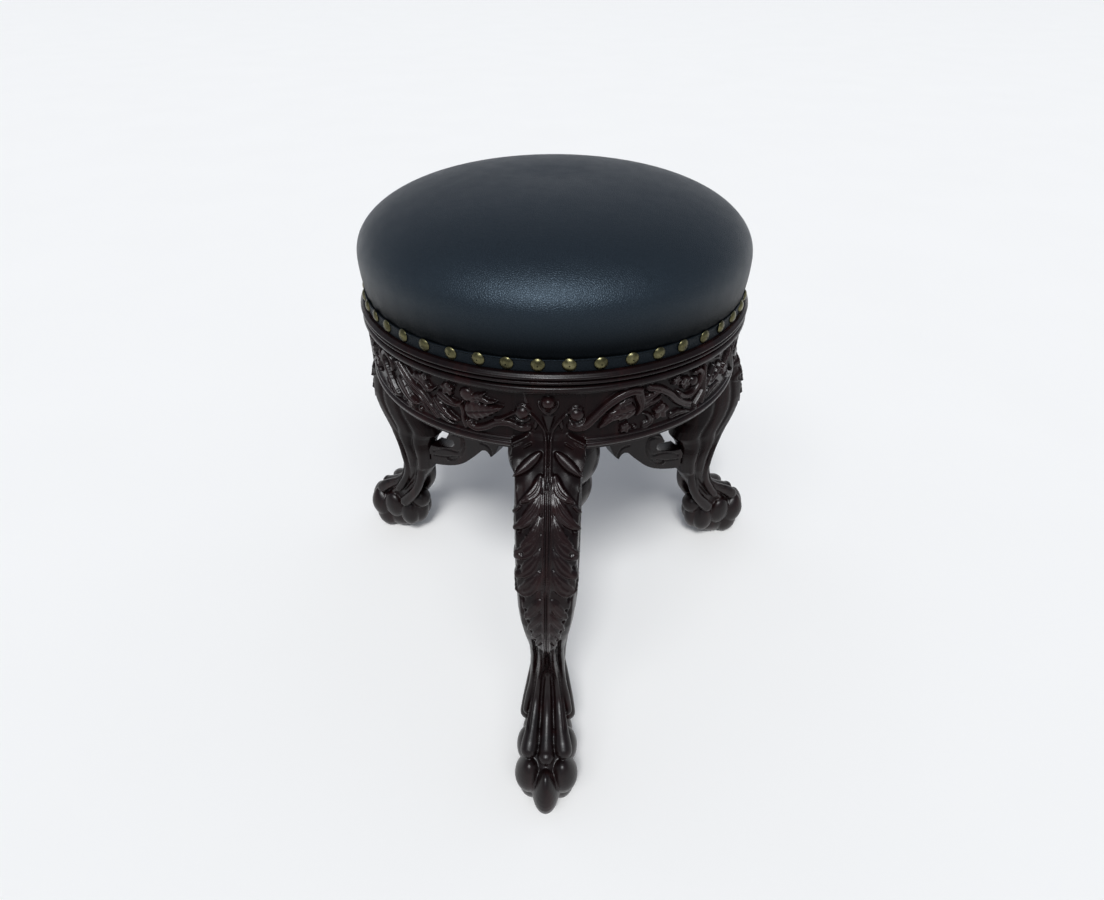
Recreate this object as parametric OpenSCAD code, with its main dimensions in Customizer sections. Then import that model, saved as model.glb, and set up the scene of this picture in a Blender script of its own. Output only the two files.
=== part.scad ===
// Revolving piano stool: a leather seat on a steel screw, over a carved three-legged base.
// The front leg points along -Y. The origin is on the floor, under the middle of the whole outline.

/* [Seat] */
// Outer radius of the rim's main half-round moulding
rim_r = 186.5; // [184:0.5:200]
// How far the cushion's widest line lies inside the rim's moulding
cushion_inset = 1.5; // [0:0.5:8]
// Height of the cushion's crown above the top of the nailed strip
cushion_h = 90; // [60:1:110]
// Height of the cushion's widest line above the top of the strip
cushion_belly_h = 30; // [20:1:40]
// Thickness of the leather
leather_t = 1.4; // [1:0.1:2.5]
// Height of the rim below the nailed strip
rim_moulding_h = 9; // [7:0.5:14]
// Depth of the nailed leather strip, from its lower to its upper edge
strip_h = 13; // [10:0.5:18]
// Thickness of the nailed strip
strip_t = 2; // [1.5:0.1:3]
// How far the strip stands back from the rim's moulding
strip_inset = 5; // [3:0.5:8]
// Gap between the base and the rim, with the seat at its lowest
seat_gap = 2; // [1:0.1:4]
// Number of dome nails round the strip
nail_count = 46; // [30:1:56]
// Radius of a nail's dome
nail_r = 5.4; // [4:0.1:6]
// Width of the rim, from its moulding in to the seat board
rim_w = 36.5; // [24:0.5:60]
// Thickness of the seat board
seat_board_t = 15; // [13:0.5:20]

/* [Screw] */
// Radius of the steel spindle over its thread
screw_r = 12; // [10:0.5:14]
// Running clearance of the spindle in the nut, on the radius
screw_fit = 0.05; // [0.02:0.01:0.09]
// How far the seat can be raised
lift_h = 96; // [60:1:110]
// Length of the nut's body below its flange
nut_body_h = 40; // [30:1:50]
// Radius of the nut's body
nut_body_r = 20; // [18:0.5:24]
// Radius of the nut's flange
nut_flange_r = 40; // [34:0.5:48]
// Thickness of the nut's flange
nut_flange_t = 4; // [3:0.5:6]
// Radius of the iron flange under the seat
seat_flange_r = 70; // [60:1:90]
// Thickness of the iron flange under the seat
seat_flange_t = 4; // [3:0.5:6]
// Height of the stop collar on the spindle's lower end
collar_h = 10; // [8:0.5:14]
// Radius of the stop collar
collar_r = 15; // [14.8:0.1:16]

/* [Base] */
// Height of the base's top face above the floor
base_h = 420; // [390:1:450]
// How far the top board's edge lies inside the rim's moulding
top_board_inset = 0.5; // [0:0.5:6]
// Depth of the top board's visible edge
top_lip_h = 6; // [5:0.5:10]
// Thickness of the top board inside the apron, below the lip
top_plug_h = 12; // [8:0.5:16]
// How far the top board stands out over the apron's carved face
lip_w = 7; // [5:0.5:12]
// Height of the apron
apron_h = 57; // [44:1:66]
// Thickness of the apron
apron_t = 18; // [14:0.5:24]
// Radius of the half-round moulding along the apron's lower edge
apron_bead_r = 3.6; // [2.5:0.1:4.5]
// Radius at which the toes end
foot_r = 317; // [290:1:335]
// Width of a leg where it meets the apron
leg_w = 59; // [50:1:64]
// Thickness of a leg's upper block, from its back to its face
post_t = 40; // [34:1:44]
// How far the face of a leg's upper block stands proud of the apron
post_proud = 1.5; // [1:0.5:8]
// How far the knee swells out under the block
knee_w = 12; // [8:0.5:20]
// Depth of the grooves between the toes
toe_groove_h = 6; // [2:0.5:8]

/* [Hub and arms] */
// Radius of the hub's lower bulb, where the arms meet it
hub_r = 53; // [46:1:58]
// Radius of the hub's neck
hub_neck_r = 38; // [34:1:44]
// Length of the hub below the top board
hub_h = 207; // [180:1:220]
// Radius of the bore that the spindle hangs in
hub_bore_r = 17; // [16.6:0.1:18]
// Length of the turned drop under the hub
drop_h = 66; // [50:1:80]
// Width of an arm
arm_w = 22; // [18:1:28]
// Depth of an arm's tenons
tenon_d = 18; // [10:1:20]
// Thickness of an arm's tenons
tenon_w = 12; // [8:0.5:16]

/* [Hidden] */
$fn = 96;

// Clearances and overruns
fit = 0.15;
gap = 0.3;
over = 2;

// Colours
wood = [0.10, 0.055, 0.045];
leather = [0.07, 0.08, 0.10];
brass = [0.55, 0.47, 0.28];
iron = [0.22, 0.22, 0.23];
steel = [0.55, 0.55, 0.56];
pine = [0.62, 0.45, 0.28];

// Heights in the base
lip_z = base_h - top_lip_h;
plug_z = lip_z - top_plug_h;
apron_z = lip_z - apron_h;
hub_z = plug_z - hub_h;
nut_flange_z = base_h - nut_flange_t;
nut_z = nut_flange_z - nut_body_h;

// Heights in the seat, at its lowest setting
washer_t = 2.4;
washer_r = 24;
washer_z = base_h + gap;
flange_z = washer_z + washer_t + gap;
seat_board_z = flange_z + seat_flange_t;
rim_z = base_h + seat_gap;
strip_z = rim_z + rim_moulding_h;
strip_top = strip_z + strip_h;
seat_board_top = seat_board_z + seat_board_t;
collar_z = nut_z - gap - lift_h - collar_h;
spindle_foot_z = collar_z - washer_t;

// Radii in the base, from the top board inwards
top_board_r = rim_r - top_board_inset;
apron_r = top_board_r - lip_w;

// Radii in the seat
cushion_r = rim_r - cushion_inset;
board_r = rim_r - rim_w;
strip_r = rim_r - strip_inset;
skirt_r = strip_r - strip_t;
band_r = skirt_r - leather_t;

// The stool's axis stands behind the origin, so that the outline's middle is over it
axis_y = (foot_r - rim_r) / 2;

// Angles of the three legs about the axis
leg_angles = [-90, 30, 150];
bay_turn = 120;
post_half = asin(leg_w / 2 / apron_r);

function mix(a, b, k) = a + (b - a) * k;
function clamp(v) = max(-1, min(1, v));
function power(v, n) = sign(v) * pow(abs(v), n);

// A smooth curve through points, STEPS to each span, without its last point
function spline(p, steps) = [for (i = [0 : len(p) - 2], s = [0 : steps - 1])
    let (k = s / steps,
         a = p[max(i - 1, 0)], b = p[i], c = p[i + 1], d = p[min(i + 2, len(p) - 1)])
    0.5 * (2 * b + (c - a) * k + (2 * a - 5 * b + 4 * c - d) * k * k
           + (3 * b - 3 * c + d - a) * k * k * k)];

module on_axis() {
    translate([0, axis_y, 0]) children();
}

module round_legs(angle) {
    on_axis() rotate([0, 0, angle]) children();
}

// The leg: one loft from the foot to the top of its block.
// Each row: height as a share of the block's top; outer and inner radius as shares of the reach;
// width as a share of the leg's width; how square the section is; how deep its grooves are.
leg_rows_share = [
    [0.000, 0.909, 0.808, 0.41, 0.00, 0.20],
    [0.012, 0.946, 0.767, 0.68, 0.00, 0.50],
    [0.031, 0.975, 0.738, 0.90, 0.00, 0.80],
    [0.058, 0.995, 0.719, 1.05, 0.00, 1.00],
    [0.087, 1.000, 0.707, 1.10, 0.00, 1.00],
    [0.116, 0.987, 0.694, 1.08, 0.00, 0.90],
    [0.138, 0.965, 0.681, 1.03, 0.00, 0.70],
    [0.155, 0.937, 0.669, 0.98, 0.00, 0.55],
    [0.169, 0.909, 0.659, 0.98, 0.00, 0.90],
    [0.184, 0.886, 0.656, 0.98, 0.00, 1.00],
    [0.200, 0.852, 0.647, 0.93, 0.00, 1.00],
    [0.220, 0.808, 0.634, 0.85, 0.00, 0.95],
    [0.239, 0.779, 0.621, 0.76, 0.00, 0.88],
    [0.261, 0.757, 0.612, 0.69, 0.00, 0.80],
    [0.285, 0.743, 0.603, 0.64, 0.02, 0.72],
    [0.314, 0.740, 0.593, 0.61, 0.05, 0.62],
    [0.353, 0.749, 0.587, 0.60, 0.08, 0.52],
    [0.386, 0.762, 0.584, 0.62, 0.12, 0.42],
    [0.415, 0.776, 0.580, 0.66, 0.15, 0.32],
    [0.440, 0.787, 0.562, 0.69, 0.17, 0.25],
    [0.461, 0.798, 0.539, 0.73, 0.19, 0.18],
    [0.488, 0.811, 0.546, 0.78, 0.21, 0.12],
    [0.514, 0.820, 0.568, 0.82, 0.23, 0.07],
    [0.546, 0.828, 0.577, 0.87, 0.25, 0.03],
    [0.580, 0.828, 0.574, 0.91, 0.27, 0.00],
    [0.618, 0.819, 0.565, 0.93, 0.29, 0.00],
    [0.662, 0.800, 0.552, 0.95, 0.32, 0.00],
    [0.710, 0.768, 0.533, 0.96, 0.37, 0.00],
    [0.754, 0.732, 0.511, 0.97, 0.46, 0.00],
    [0.795, 0.688, 0.492, 0.97, 0.60, 0.00],
    [0.831, 0.640, 0.473, 0.98, 0.80, 0.00],
];
leg_sides = 48;
toe_turn = 40;
groove_turn = 130;

// One point of a leg's section: A is the angle round it, from the outer face.
function leg_point(a, outer, inner, w, square, groove) =
    let (half = (outer - inner) / 2,
         mid = (outer + inner) / 2,
         lobe = toe_groove_h * groove * (1 - abs(cos(a * 180 / toe_turn)))
                * (abs(a) < groove_turn ? 1 : max(0, 1 - (abs(a) - groove_turn) / toe_turn)),
         shape = 0.86,
         x = mix(power(cos(a), shape), clamp(sqrt(2) * cos(a)), square),
         y = mix(power(sin(a), shape), clamp(sqrt(2) * sin(a)), square))
    [mid + (half - lobe) * x, (w / 2 - lobe) * y];

// The same section bent round the axis, so that its sides are the radial planes of the joints.
function post_point(a, outer, inner) =
    let (p = leg_point(a, outer, inner, 2 * post_half, 1, 0))
    [p[0] * cos(p[1]), p[0] * sin(p[1])];

function leg_ring(row) = [for (i = [0 : leg_sides - 1])
    let (a = i * 360 / leg_sides, turn = a > 180 ? a - 360 : a,
         p = leg_point(turn, row[1] * foot_r, row[2] * foot_r, row[3] * leg_w, row[4], row[5]))
    [p[0], p[1], row[0] * lip_z]];

function post_ring(z, outer, inner) = [for (i = [0 : leg_sides - 1])
    let (p = post_point(i * 360 / leg_sides, outer, inner))
    [p[0], p[1], z]];

post_r = apron_r + post_proud;
post_in = post_r - post_t;
knee_share = [[0, 1], [0.6, 0.34], [1.2, 0]];

function leg_points() = concat(
    [for (row = leg_rows_share, p = leg_ring(row)) p],
    [for (s = knee_share, p = post_ring(apron_z + s[0] * knee_w, post_r + s[1] * knee_w, post_in)) p],
    post_ring(lip_z, post_r, post_in));

module loft(points, sides) {
    rows = len(points) / sides;
    polyhedron(points, concat(
        [[for (i = [0 : sides - 1]) i]],
        [for (r = [0 : rows - 2], i = [0 : sides - 1], half = [0, 1])
            let (j = (i + 1) % sides, low = r * sides, high = low + sides)
            half == 0 ? [low + i, high + i, high + j] : [low + i, high + j, low + j]],
        [[for (i = [0 : sides - 1]) rows * sides - 1 - i]]), convexity = 6);
}

// Joints of the leg: dowels to the aprons, a mortise for the arm and a hole for the board's screw.
dowel_r = 4;
dowel_l = 28;
dowel_r_mid = apron_r - apron_t / 2;
dowel_share = [0.28, 0.76];
arm_z = 0.344 * lip_z;
arm_h = 98.5;
arm_end_h = 0.33 * arm_h;
arm_butt_h = 0.24 * arm_h;
arm_leg_r = 0.582 * foot_r;
tenon_h = 0.6 * arm_end_h;
tenon_z = arm_z + (arm_end_h - tenon_h) / 2;
board_screw_r = 2.5;
board_screw_l = 42;
board_screw_mid = post_in + post_t / 2;
board_screw_head_r = 5;

module dowels(angle, side, clear) {
    for (s = dowel_share)
        rotate([0, 0, angle + side * post_half])
            translate([dowel_r_mid, 0, apron_z + s * apron_h])
                rotate([90, 0, 0]) cylinder(r = dowel_r + clear, h = dowel_l + 2 * clear, center = true);
}

module countersunk(r, head_r, l, clear) {
    head_h = head_r - r;
    translate([0, 0, -l]) cylinder(r = r + clear, h = l);
    translate([0, 0, -head_h]) cylinder(r1 = r + clear, r2 = head_r + clear, h = head_h);
    if (clear > 0) cylinder(r = head_r + clear, h = gap);
}

module leg_shape() {
    difference() {
        loft(leg_points(), leg_sides);
        dowels(0, 1, fit);
        dowels(0, -1, fit);
        translate([arm_leg_r - over * 4, -tenon_w / 2 - fit, tenon_z - fit])
            cube([tenon_d + over * 4 + fit, tenon_w + 2 * fit, tenon_h + 2 * fit]);
        translate([board_screw_mid, 0, base_h])
            countersunk(board_screw_r, board_screw_head_r, board_screw_l + fit, fit);
    }
}

module leg_front() { color(wood) round_legs(leg_angles[0]) leg_shape(); }
module leg_right() { color(wood) round_legs(leg_angles[1]) leg_shape(); }
module leg_left() { color(wood) round_legs(leg_angles[2]) leg_shape(); }

// The apron: a curved rail between two legs, with a half-round along its lower edge.
module apron_profile() {
    difference() {
        union() {
            translate([apron_r - apron_t, apron_z]) square([apron_t, apron_h]);
            translate([apron_r, apron_z + 1.6 * apron_bead_r]) circle(r = apron_bead_r, $fn = 48);
            translate([apron_r - apron_bead_r, apron_z])
                square([1.4 * apron_bead_r, 0.6 * apron_bead_r]);
            translate([apron_r - apron_bead_r, lip_z - 0.9 * apron_bead_r])
                square([1.5 * apron_bead_r, 0.9 * apron_bead_r]);
        }
        translate([apron_r - apron_t - over, apron_z - over]) square([over, apron_h + 2 * over]);
    }
}

module apron(angle) {
    round_legs(angle + post_half)
        difference() {
            rotate_extrude(angle = bay_turn - 2 * post_half, $fn = 180) apron_profile();
            rotate([0, 0, -post_half]) dowels(0, 1, fit);
            rotate([0, 0, -post_half]) dowels(bay_turn, -1, fit);
        }
}

module apron_front_right() { color(wood) apron(leg_angles[0]); }
module apron_back() { color(wood) apron(leg_angles[1]); }
module apron_front_left() { color(wood) apron(leg_angles[2]); }

module apron_dowels() {
    color(pine) for (a = leg_angles, side = [-1, 1]) on_axis() dowels(a, side, 0);
}

// The top board: its lip covers the apron and the legs, its plug sits between them.
nut_screw_r = 2.2;
nut_screw_head_r = 4.4;
nut_screw_l = 13;
nut_screw_mid = (nut_body_r + nut_flange_r) / 2;
nut_screw_count = 4;
hub_top_r = nut_flange_r + 2 * dowel_r + washer_r / 2;
hub_screw_mid = nut_flange_r + dowel_r;
hub_screw_count = 3;
hub_screw_l = 32;

module on_circle(count, r) {
    for (i = [0 : count - 1])
        rotate([0, 0, (i + 0.5) * 360 / count]) translate([r, 0, 0]) children();
}

module top_board_profile() {
    lip_round = top_lip_h / 2;
    translate([0, lip_z]) square([top_board_r - lip_round, top_lip_h]);
    translate([top_board_r - lip_round, lip_z + lip_round]) circle(r = lip_round, $fn = 48);
    translate([0, plug_z]) square([post_in - gap, top_plug_h]);
}

module top_board() {
    color(wood) on_axis() difference() {
        rotate_extrude($fn = 180) top_board_profile();
        translate([0, 0, plug_z - over])
            cylinder(r = nut_body_r + fit, h = top_plug_h + top_lip_h + 2 * over);
        translate([0, 0, nut_flange_z]) cylinder(r = nut_flange_r + fit, h = nut_flange_t + over);
        for (a = leg_angles) rotate([0, 0, a]) translate([board_screw_mid, 0, base_h])
            countersunk(board_screw_r, board_screw_head_r, board_screw_l, fit);
        translate([0, 0, base_h]) on_circle(nut_screw_count, nut_screw_mid)
            countersunk(nut_screw_r, nut_screw_head_r, nut_screw_l, fit);
        translate([0, 0, hub_screw_z]) on_circle(hub_screw_count, hub_screw_mid) mirror([0, 0, 1])
            countersunk(nut_screw_r, nut_screw_head_r, hub_screw_l, fit);
    }
}

module board_screws() {
    color(steel) for (a = leg_angles) on_axis() rotate([0, 0, a])
        translate([board_screw_mid, 0, base_h])
            countersunk(board_screw_r, board_screw_head_r, board_screw_l, 0);
}

module nut_screws() {
    color(steel) on_axis() translate([0, 0, base_h]) on_circle(nut_screw_count, nut_screw_mid)
        countersunk(nut_screw_r, nut_screw_head_r, nut_screw_l, 0);
}

module hub_screws() {
    color(steel) on_axis() translate([0, 0, hub_screw_z])
        on_circle(hub_screw_count, hub_screw_mid) mirror([0, 0, 1])
            countersunk(nut_screw_r, nut_screw_head_r, hub_screw_l, 0);
}

// Glue blocks in the corner between each apron and the top board
block_size = 22;
block_l = 40;
block_turn = 24;

module glue_blocks() {
    block_in = sqrt(pow(apron_r - apron_t - gap, 2) - pow(block_l / 2, 2)) - block_size;
    color(pine) for (a = leg_angles, side = [-1, 1]) on_axis()
        rotate([0, 0, a + bay_turn / 2 + side * block_turn])
            difference() {
                translate([block_in, -block_l / 2, plug_z - block_size - gap])
                    cube([block_size, block_l, block_size]);
                translate([block_in, 0, plug_z - block_size - gap]) rotate([90, 0, 0])
                    cylinder(r = block_size / 2, h = block_l + 2 * over, center = true);
            }
}

// The hub: a turned pillar that hangs from the top board and holds the spindle.
hub_cap_h = 20;
hub_screw_z = plug_z - hub_cap_h;
bulb_share = [[0.77, 0.000], [0.80, 0.018], [0.88, 0.045], [0.96, 0.085], [1.00, 0.135], [0.99, 0.185],
              [0.93, 0.230], [0.83, 0.265]];
waist_z = hub_z + 0.28 * hub_h;
cap_flare = hub_top_r - hub_neck_r;

module hub_profile() {
    polygon(concat(
        [[0, hub_z]],
        [for (p = spline([for (s = bulb_share) [s[0] * hub_r, hub_z + s[1] * hub_h]], 4)) p],
        [[hub_neck_r, waist_z + 0.02 * hub_h],
         [hub_neck_r, hub_screw_z - cap_flare]],
        [for (t = [0 : 10 : 90]) [hub_top_r - cap_flare * cos(t), hub_screw_z - cap_flare * (1 - sin(t))]],
        [[hub_top_r, plug_z], [0, plug_z]]));
}

module hub() {
    color(wood) on_axis() difference() {
        union() {
            rotate_extrude($fn = 120) hub_profile();
            for (z = [waist_z + 0.09 * hub_h, hub_screw_z - cap_flare - 0.03 * hub_h])
                translate([0, 0, z]) rotate_extrude($fn = 120)
                    translate([hub_neck_r, 0]) circle(r = 0.09 * hub_neck_r, $fn = 36);
        }
        translate([0, 0, hub_z - over]) cylinder(r = hub_bore_r, h = hub_h + 2 * over);
        translate([0, 0, nut_z - fit]) cylinder(r = nut_body_r + fit, h = nut_body_h + over);
        translate([0, 0, hub_screw_z]) on_circle(hub_screw_count, hub_screw_mid) mirror([0, 0, 1])
            countersunk(nut_screw_r, nut_screw_head_r, hub_screw_l, fit);
        for (a = leg_angles) rotate([0, 0, a]) hub_mortise();
    }
}

// The drop: a turned pendant whose spigot closes the hub's bore.
spigot_h = 16;
drop_share = [[0.78, 0.00], [0.83, 0.07], [0.86, 0.17], [0.84, 0.31], [0.77, 0.45], [0.65, 0.57],
              [0.49, 0.66], [0.32, 0.72], [0.25, 0.77], [0.29, 0.83], [0.27, 0.90], [0.00, 1.00]];

module hub_drop() {
    color(wood) on_axis() {
        rotate_extrude($fn = 120) polygon(concat(
            [[0, hub_z - gap], [0.72 * hub_r, hub_z - gap]],
            [for (p = spline([for (s = drop_share) [s[0] * hub_r, hub_z - gap * 4 - s[1] * drop_h]], 3))
                [max(0, p[0]), p[1]]],
            [[0, hub_z - gap * 4 - drop_h]]));
        translate([0, 0, hub_z - over]) cylinder(r = hub_bore_r - fit, h = spigot_h + over);
    }
}

// The arms: scrolled brackets from the legs to the hub.
// Outline as shares: along from the hub to the leg, and up from the arm's lowest line.
arm_under_share = [[1.00, 0.00], [0.933, 0.017], [0.849, 0.046], [0.775, 0.078], [0.700, 0.119],
                   [0.638, 0.163], [0.576, 0.220], [0.512, 0.299], [0.450, 0.383], [0.401, 0.452],
                   [0.358, 0.518], [0.329, 0.543], [0.296, 0.547], [0.264, 0.518], [0.250, 0.476]];
arm_hook_share = [[0.250, 0.476], [0.198, 0.553], [0.166, 0.645], [0.137, 0.726], [0.076, 0.787],
                  [0.00, 0.812]];
arm_back_share = [[0.00, 1.00], [0.144, 0.995], [0.372, 0.949], [0.563, 0.848], [0.661, 0.736],
                  [0.715, 0.650], [0.742, 0.589], [0.762, 0.533]];
arm_curl_share = [[0.762, 0.533], [0.734, 0.527], [0.702, 0.535], [0.675, 0.525], [0.666, 0.487],
                  [0.681, 0.446], [0.717, 0.412], [0.796, 0.373], [0.888, 0.341], [0.976, 0.330]];
arm_scroll_share = [[1.00, 0.165], [0.887, 0.195], [0.757, 0.245], [0.627, 0.302], [0.588, 0.360],
                    [0.559, 0.452], [0.550, 0.564], [0.569, 0.650], [0.617, 0.690], [0.677, 0.668],
                    [0.722, 0.610], [0.762, 0.533]];
arm_step = 2;
arm_run = arm_leg_r - hub_r;
hub_tenon_z = arm_z + 0.84 * arm_h;
hub_tenon_h = 0.13 * arm_h;

function arm_line(shares) = spline([for (s = shares) [hub_r + s[0] * arm_run, arm_z + s[1] * arm_h]], 5);

module arm_side() {
    polygon(concat(arm_line(arm_under_share), arm_line(arm_hook_share),
        [[hub_r - over * 4, arm_z + 0.812 * arm_h], [hub_r - over * 4, arm_z + arm_h]],
        arm_line(arm_back_share), arm_line(arm_curl_share),
        [[arm_leg_r, arm_z + arm_butt_h]]));
}

// The raised scroll that runs from the leg and curls up round the opening
module arm_scroll() {
    polygon(concat(arm_line(arm_scroll_share), arm_line(arm_curl_share), [[arm_leg_r, arm_z + arm_butt_h]]));
}

module arm_plate(w) {
    translate([0, w / 2, 0]) rotate([90, 0, 0]) linear_extrude(w) children();
}

module hub_mortise() {
    translate([hub_r - tenon_d - over, -tenon_w / 2 - fit, hub_tenon_z - fit])
        cube([tenon_d + 2 * over, tenon_w + 2 * fit, hub_tenon_h + 2 * fit]);
}

module arm() {
    difference() {
        union() {
            arm_plate(arm_w - 2 * arm_step) arm_side();
            arm_plate(arm_w) arm_scroll();
        }
        cylinder(r = hub_r + fit, h = base_h);
    }
    translate([hub_r - tenon_d, -tenon_w / 2, hub_tenon_z]) cube([tenon_d + over * 2, tenon_w, hub_tenon_h]);
    translate([arm_leg_r - over * 4, -tenon_w / 2, tenon_z]) cube([tenon_d + over * 4, tenon_w, tenon_h]);
}

module arm_front() { color(wood) round_legs(leg_angles[0]) arm(); }
module arm_right() { color(wood) round_legs(leg_angles[1]) arm(); }
module arm_left() { color(wood) round_legs(leg_angles[2]) arm(); }

// The nut: an iron bush let into the top board, which the spindle turns in.
module screw_nut() {
    color(iron) on_axis() difference() {
        union() {
            translate([0, 0, nut_flange_z]) cylinder(r = nut_flange_r, h = nut_flange_t);
            translate([0, 0, nut_z]) cylinder(r = nut_body_r, h = nut_body_h + nut_flange_t / 2);
        }
        translate([0, 0, nut_z - over])
            cylinder(r = screw_r + screw_fit, h = nut_body_h + nut_flange_t + 2 * over);
        translate([0, 0, base_h]) on_circle(nut_screw_count, nut_screw_mid)
            countersunk(nut_screw_r, nut_screw_head_r, nut_screw_l, fit);
    }
}

// The thrust washer lies loose on the nut, round the spindle, under the seat's flange.
module thrust_washer() {
    color(leather) on_axis() translate([0, 0, washer_z]) difference() {
        cylinder(r = washer_r, h = washer_t);
        translate([0, 0, -over]) cylinder(r = screw_r + gap, h = washer_t + 2 * over);
    }
}

// The spindle, with its stop collar pinned on below the nut
boss_r = 20;
boss_h = 9;
spindle_top = seat_board_z + boss_h;
pin_r = 2.5;

module stop_pin_shape(clear) {
    translate([0, 0, collar_z + collar_h / 2]) rotate([0, 90, 0])
        cylinder(r = pin_r + clear, h = 2 * (collar_r - gap), center = true);
}

module screw_spindle() {
    color(steel) on_axis() difference() {
        translate([0, 0, spindle_foot_z]) cylinder(r = screw_r, h = spindle_top - spindle_foot_z);
        stop_pin_shape(fit);
    }
}

module stop_collar() {
    color(iron) on_axis() difference() {
        translate([0, 0, collar_z]) cylinder(r = collar_r, h = collar_h);
        translate([0, 0, collar_z - over]) cylinder(r = screw_r + fit, h = collar_h + 2 * over);
        translate([0, 0, collar_z + collar_h / 2]) rotate([0, 90, 0])
            cylinder(r = pin_r + fit, h = 2 * collar_r + 2 * over, center = true);
    }
}

module stop_pin() { color(steel) on_axis() stop_pin_shape(0); }

// The flange: an iron plate of four arms whose boss grips the spindle's top.
flange_screw_count = 4;
flange_screw_mid = 0.84 * seat_flange_r;
flange_screw_l = 13;
flange_arm_w = 1.1 * boss_r;

module flange_outline() {
    circle(r = 1.6 * boss_r);
    for (i = [0 : flange_screw_count - 1]) rotate([0, 0, (i + 0.5) * 360 / flange_screw_count]) {
        translate([0, -flange_arm_w / 2]) square([flange_screw_mid, flange_arm_w]);
        translate([flange_screw_mid, 0]) circle(r = flange_arm_w / 2);
    }
}

module seat_flange() {
    color(iron) on_axis() difference() {
        union() {
            translate([0, 0, flange_z]) linear_extrude(seat_flange_t) flange_outline();
            translate([0, 0, flange_z]) cylinder(r = boss_r, h = seat_flange_t + boss_h);
        }
        translate([0, 0, flange_z - over])
            cylinder(r = screw_r + screw_fit, h = seat_flange_t + boss_h + 2 * over);
        translate([0, 0, flange_z]) on_circle(flange_screw_count, flange_screw_mid) mirror([0, 0, 1])
            countersunk(nut_screw_r, nut_screw_head_r, flange_screw_l, fit);
    }
}

module flange_screws() {
    color(steel) on_axis() translate([0, 0, flange_z])
        on_circle(flange_screw_count, flange_screw_mid) mirror([0, 0, 1])
            countersunk(nut_screw_r, nut_screw_head_r, flange_screw_l, 0);
}

module seat_board() {
    color(pine) on_axis() difference() {
        translate([0, 0, seat_board_z]) cylinder(r = board_r - fit, h = seat_board_t, $fn = 180);
        translate([0, 0, seat_board_z - over]) cylinder(r = boss_r + fit, h = boss_h + fit + over);
        translate([0, 0, flange_z]) on_circle(flange_screw_count, flange_screw_mid) mirror([0, 0, 1])
            countersunk(nut_screw_r, nut_screw_head_r, flange_screw_l, fit);
    }
}

// The rim: a turned ring round the board, with a small roll under a large half-round.
rim_ledge = 12;
roll_r = 0.16 * rim_moulding_h;
astragal_r = 0.32 * rim_moulding_h;

module rim_profile() {
    ring_in = board_r - rim_ledge;
    difference() {
        union() {
            translate([ring_in, rim_z]) square([rim_r - astragal_r - ring_in, rim_moulding_h]);
            translate([ring_in, rim_z]) square([band_r - ring_in, seat_board_top - rim_z]);
            translate([rim_r - astragal_r, strip_z - astragal_r]) circle(r = astragal_r, $fn = 48);
            translate([rim_r - astragal_r, rim_z + roll_r]) circle(r = roll_r, $fn = 36);
        }
        translate([ring_in - over, seat_board_z]) square([rim_ledge + over, seat_board_t + over]);
    }
}

module seat_rim() {
    color(wood) on_axis() rotate_extrude($fn = 180) rim_profile();
}

// The cushion: a crowned pad whose sides swell over the strip and draw in under it.
tuck_share = 0.016;
tuck_h = 1;
crown_power = 2.8;

function crown(s) = sqrt(1 - pow(s, crown_power));

function cushion_curve(inset) =
    let (belly = cushion_r - inset, belly_z = strip_top + cushion_belly_h,
         rise = cushion_h - cushion_belly_h - inset)
    concat(
        [for (k = [0 : 0.2 : 0.8]) [belly * (1 - tuck_share * pow(1 - k, 2)), mix(strip_top, belly_z, k)]],
        [for (t = [90 : -6 : 6]) [belly * sin(t), belly_z + rise * crown(sin(t))]]);

module cushion_shape(inset, low_r, low_z) {
    rotate_extrude($fn = 120) polygon(concat(
        [[0, low_z], [low_r, low_z], [low_r, strip_top - tuck_h]],
        cushion_curve(inset),
        [[0, strip_top + cushion_h - inset]]));
}

module seat_padding() {
    color(pine) on_axis() cushion_shape(leather_t + gap, band_r, seat_board_top + gap);
}

module seat_cover() {
    color(leather) on_axis() difference() {
        cushion_shape(0, skirt_r, strip_z + gap * 2);
        cushion_shape(leather_t, band_r + gap, strip_z - over);
    }
}

module nailed_strip() {
    band_h = strip_h - tuck_h - 2 * gap;
    color(leather) on_axis() translate([0, 0, strip_z + gap]) difference() {
        cylinder(r = strip_r, h = band_h, $fn = 180);
        translate([0, 0, -over]) cylinder(r = skirt_r + gap / 2, h = band_h + 2 * over, $fn = 180);
    }
}

// Dome nails, driven through the strip and the leather into the rim
nail_h = 0.5 * nail_r;
nail_shank_r = 0.9;
nail_shank_l = 10;

module dome_nail() {
    rotate([0, 90, 0]) rotate_extrude($fn = 26) polygon(concat(
        [[0, -nail_shank_l], [nail_shank_r, -nail_shank_l], [nail_shank_r, 0]],
        [for (t = [0 : 30 : 90]) [nail_r * cos(t), nail_h * sin(t)]]));
}

module dome_nails() {
    color(brass) on_axis() translate([0, 0, strip_z + strip_h / 2 + gap])
        for (i = [0 : nail_count - 1]) rotate([0, 0, i * 360 / nail_count])
            translate([strip_r, 0, 0]) dome_nail();
}

leg_front();
leg_right();
leg_left();
apron_front_right();
apron_back();
apron_front_left();
top_board();
hub();
hub_drop();
arm_front();
arm_right();
arm_left();
screw_nut();
nut_screws();
board_screws();
hub_screws();
glue_blocks();
apron_dowels();
thrust_washer();
screw_spindle();
stop_collar();
stop_pin();
seat_flange();
flange_screws();
seat_board();
seat_rim();
seat_padding();
seat_cover();
nailed_strip();
dome_nails();
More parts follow.
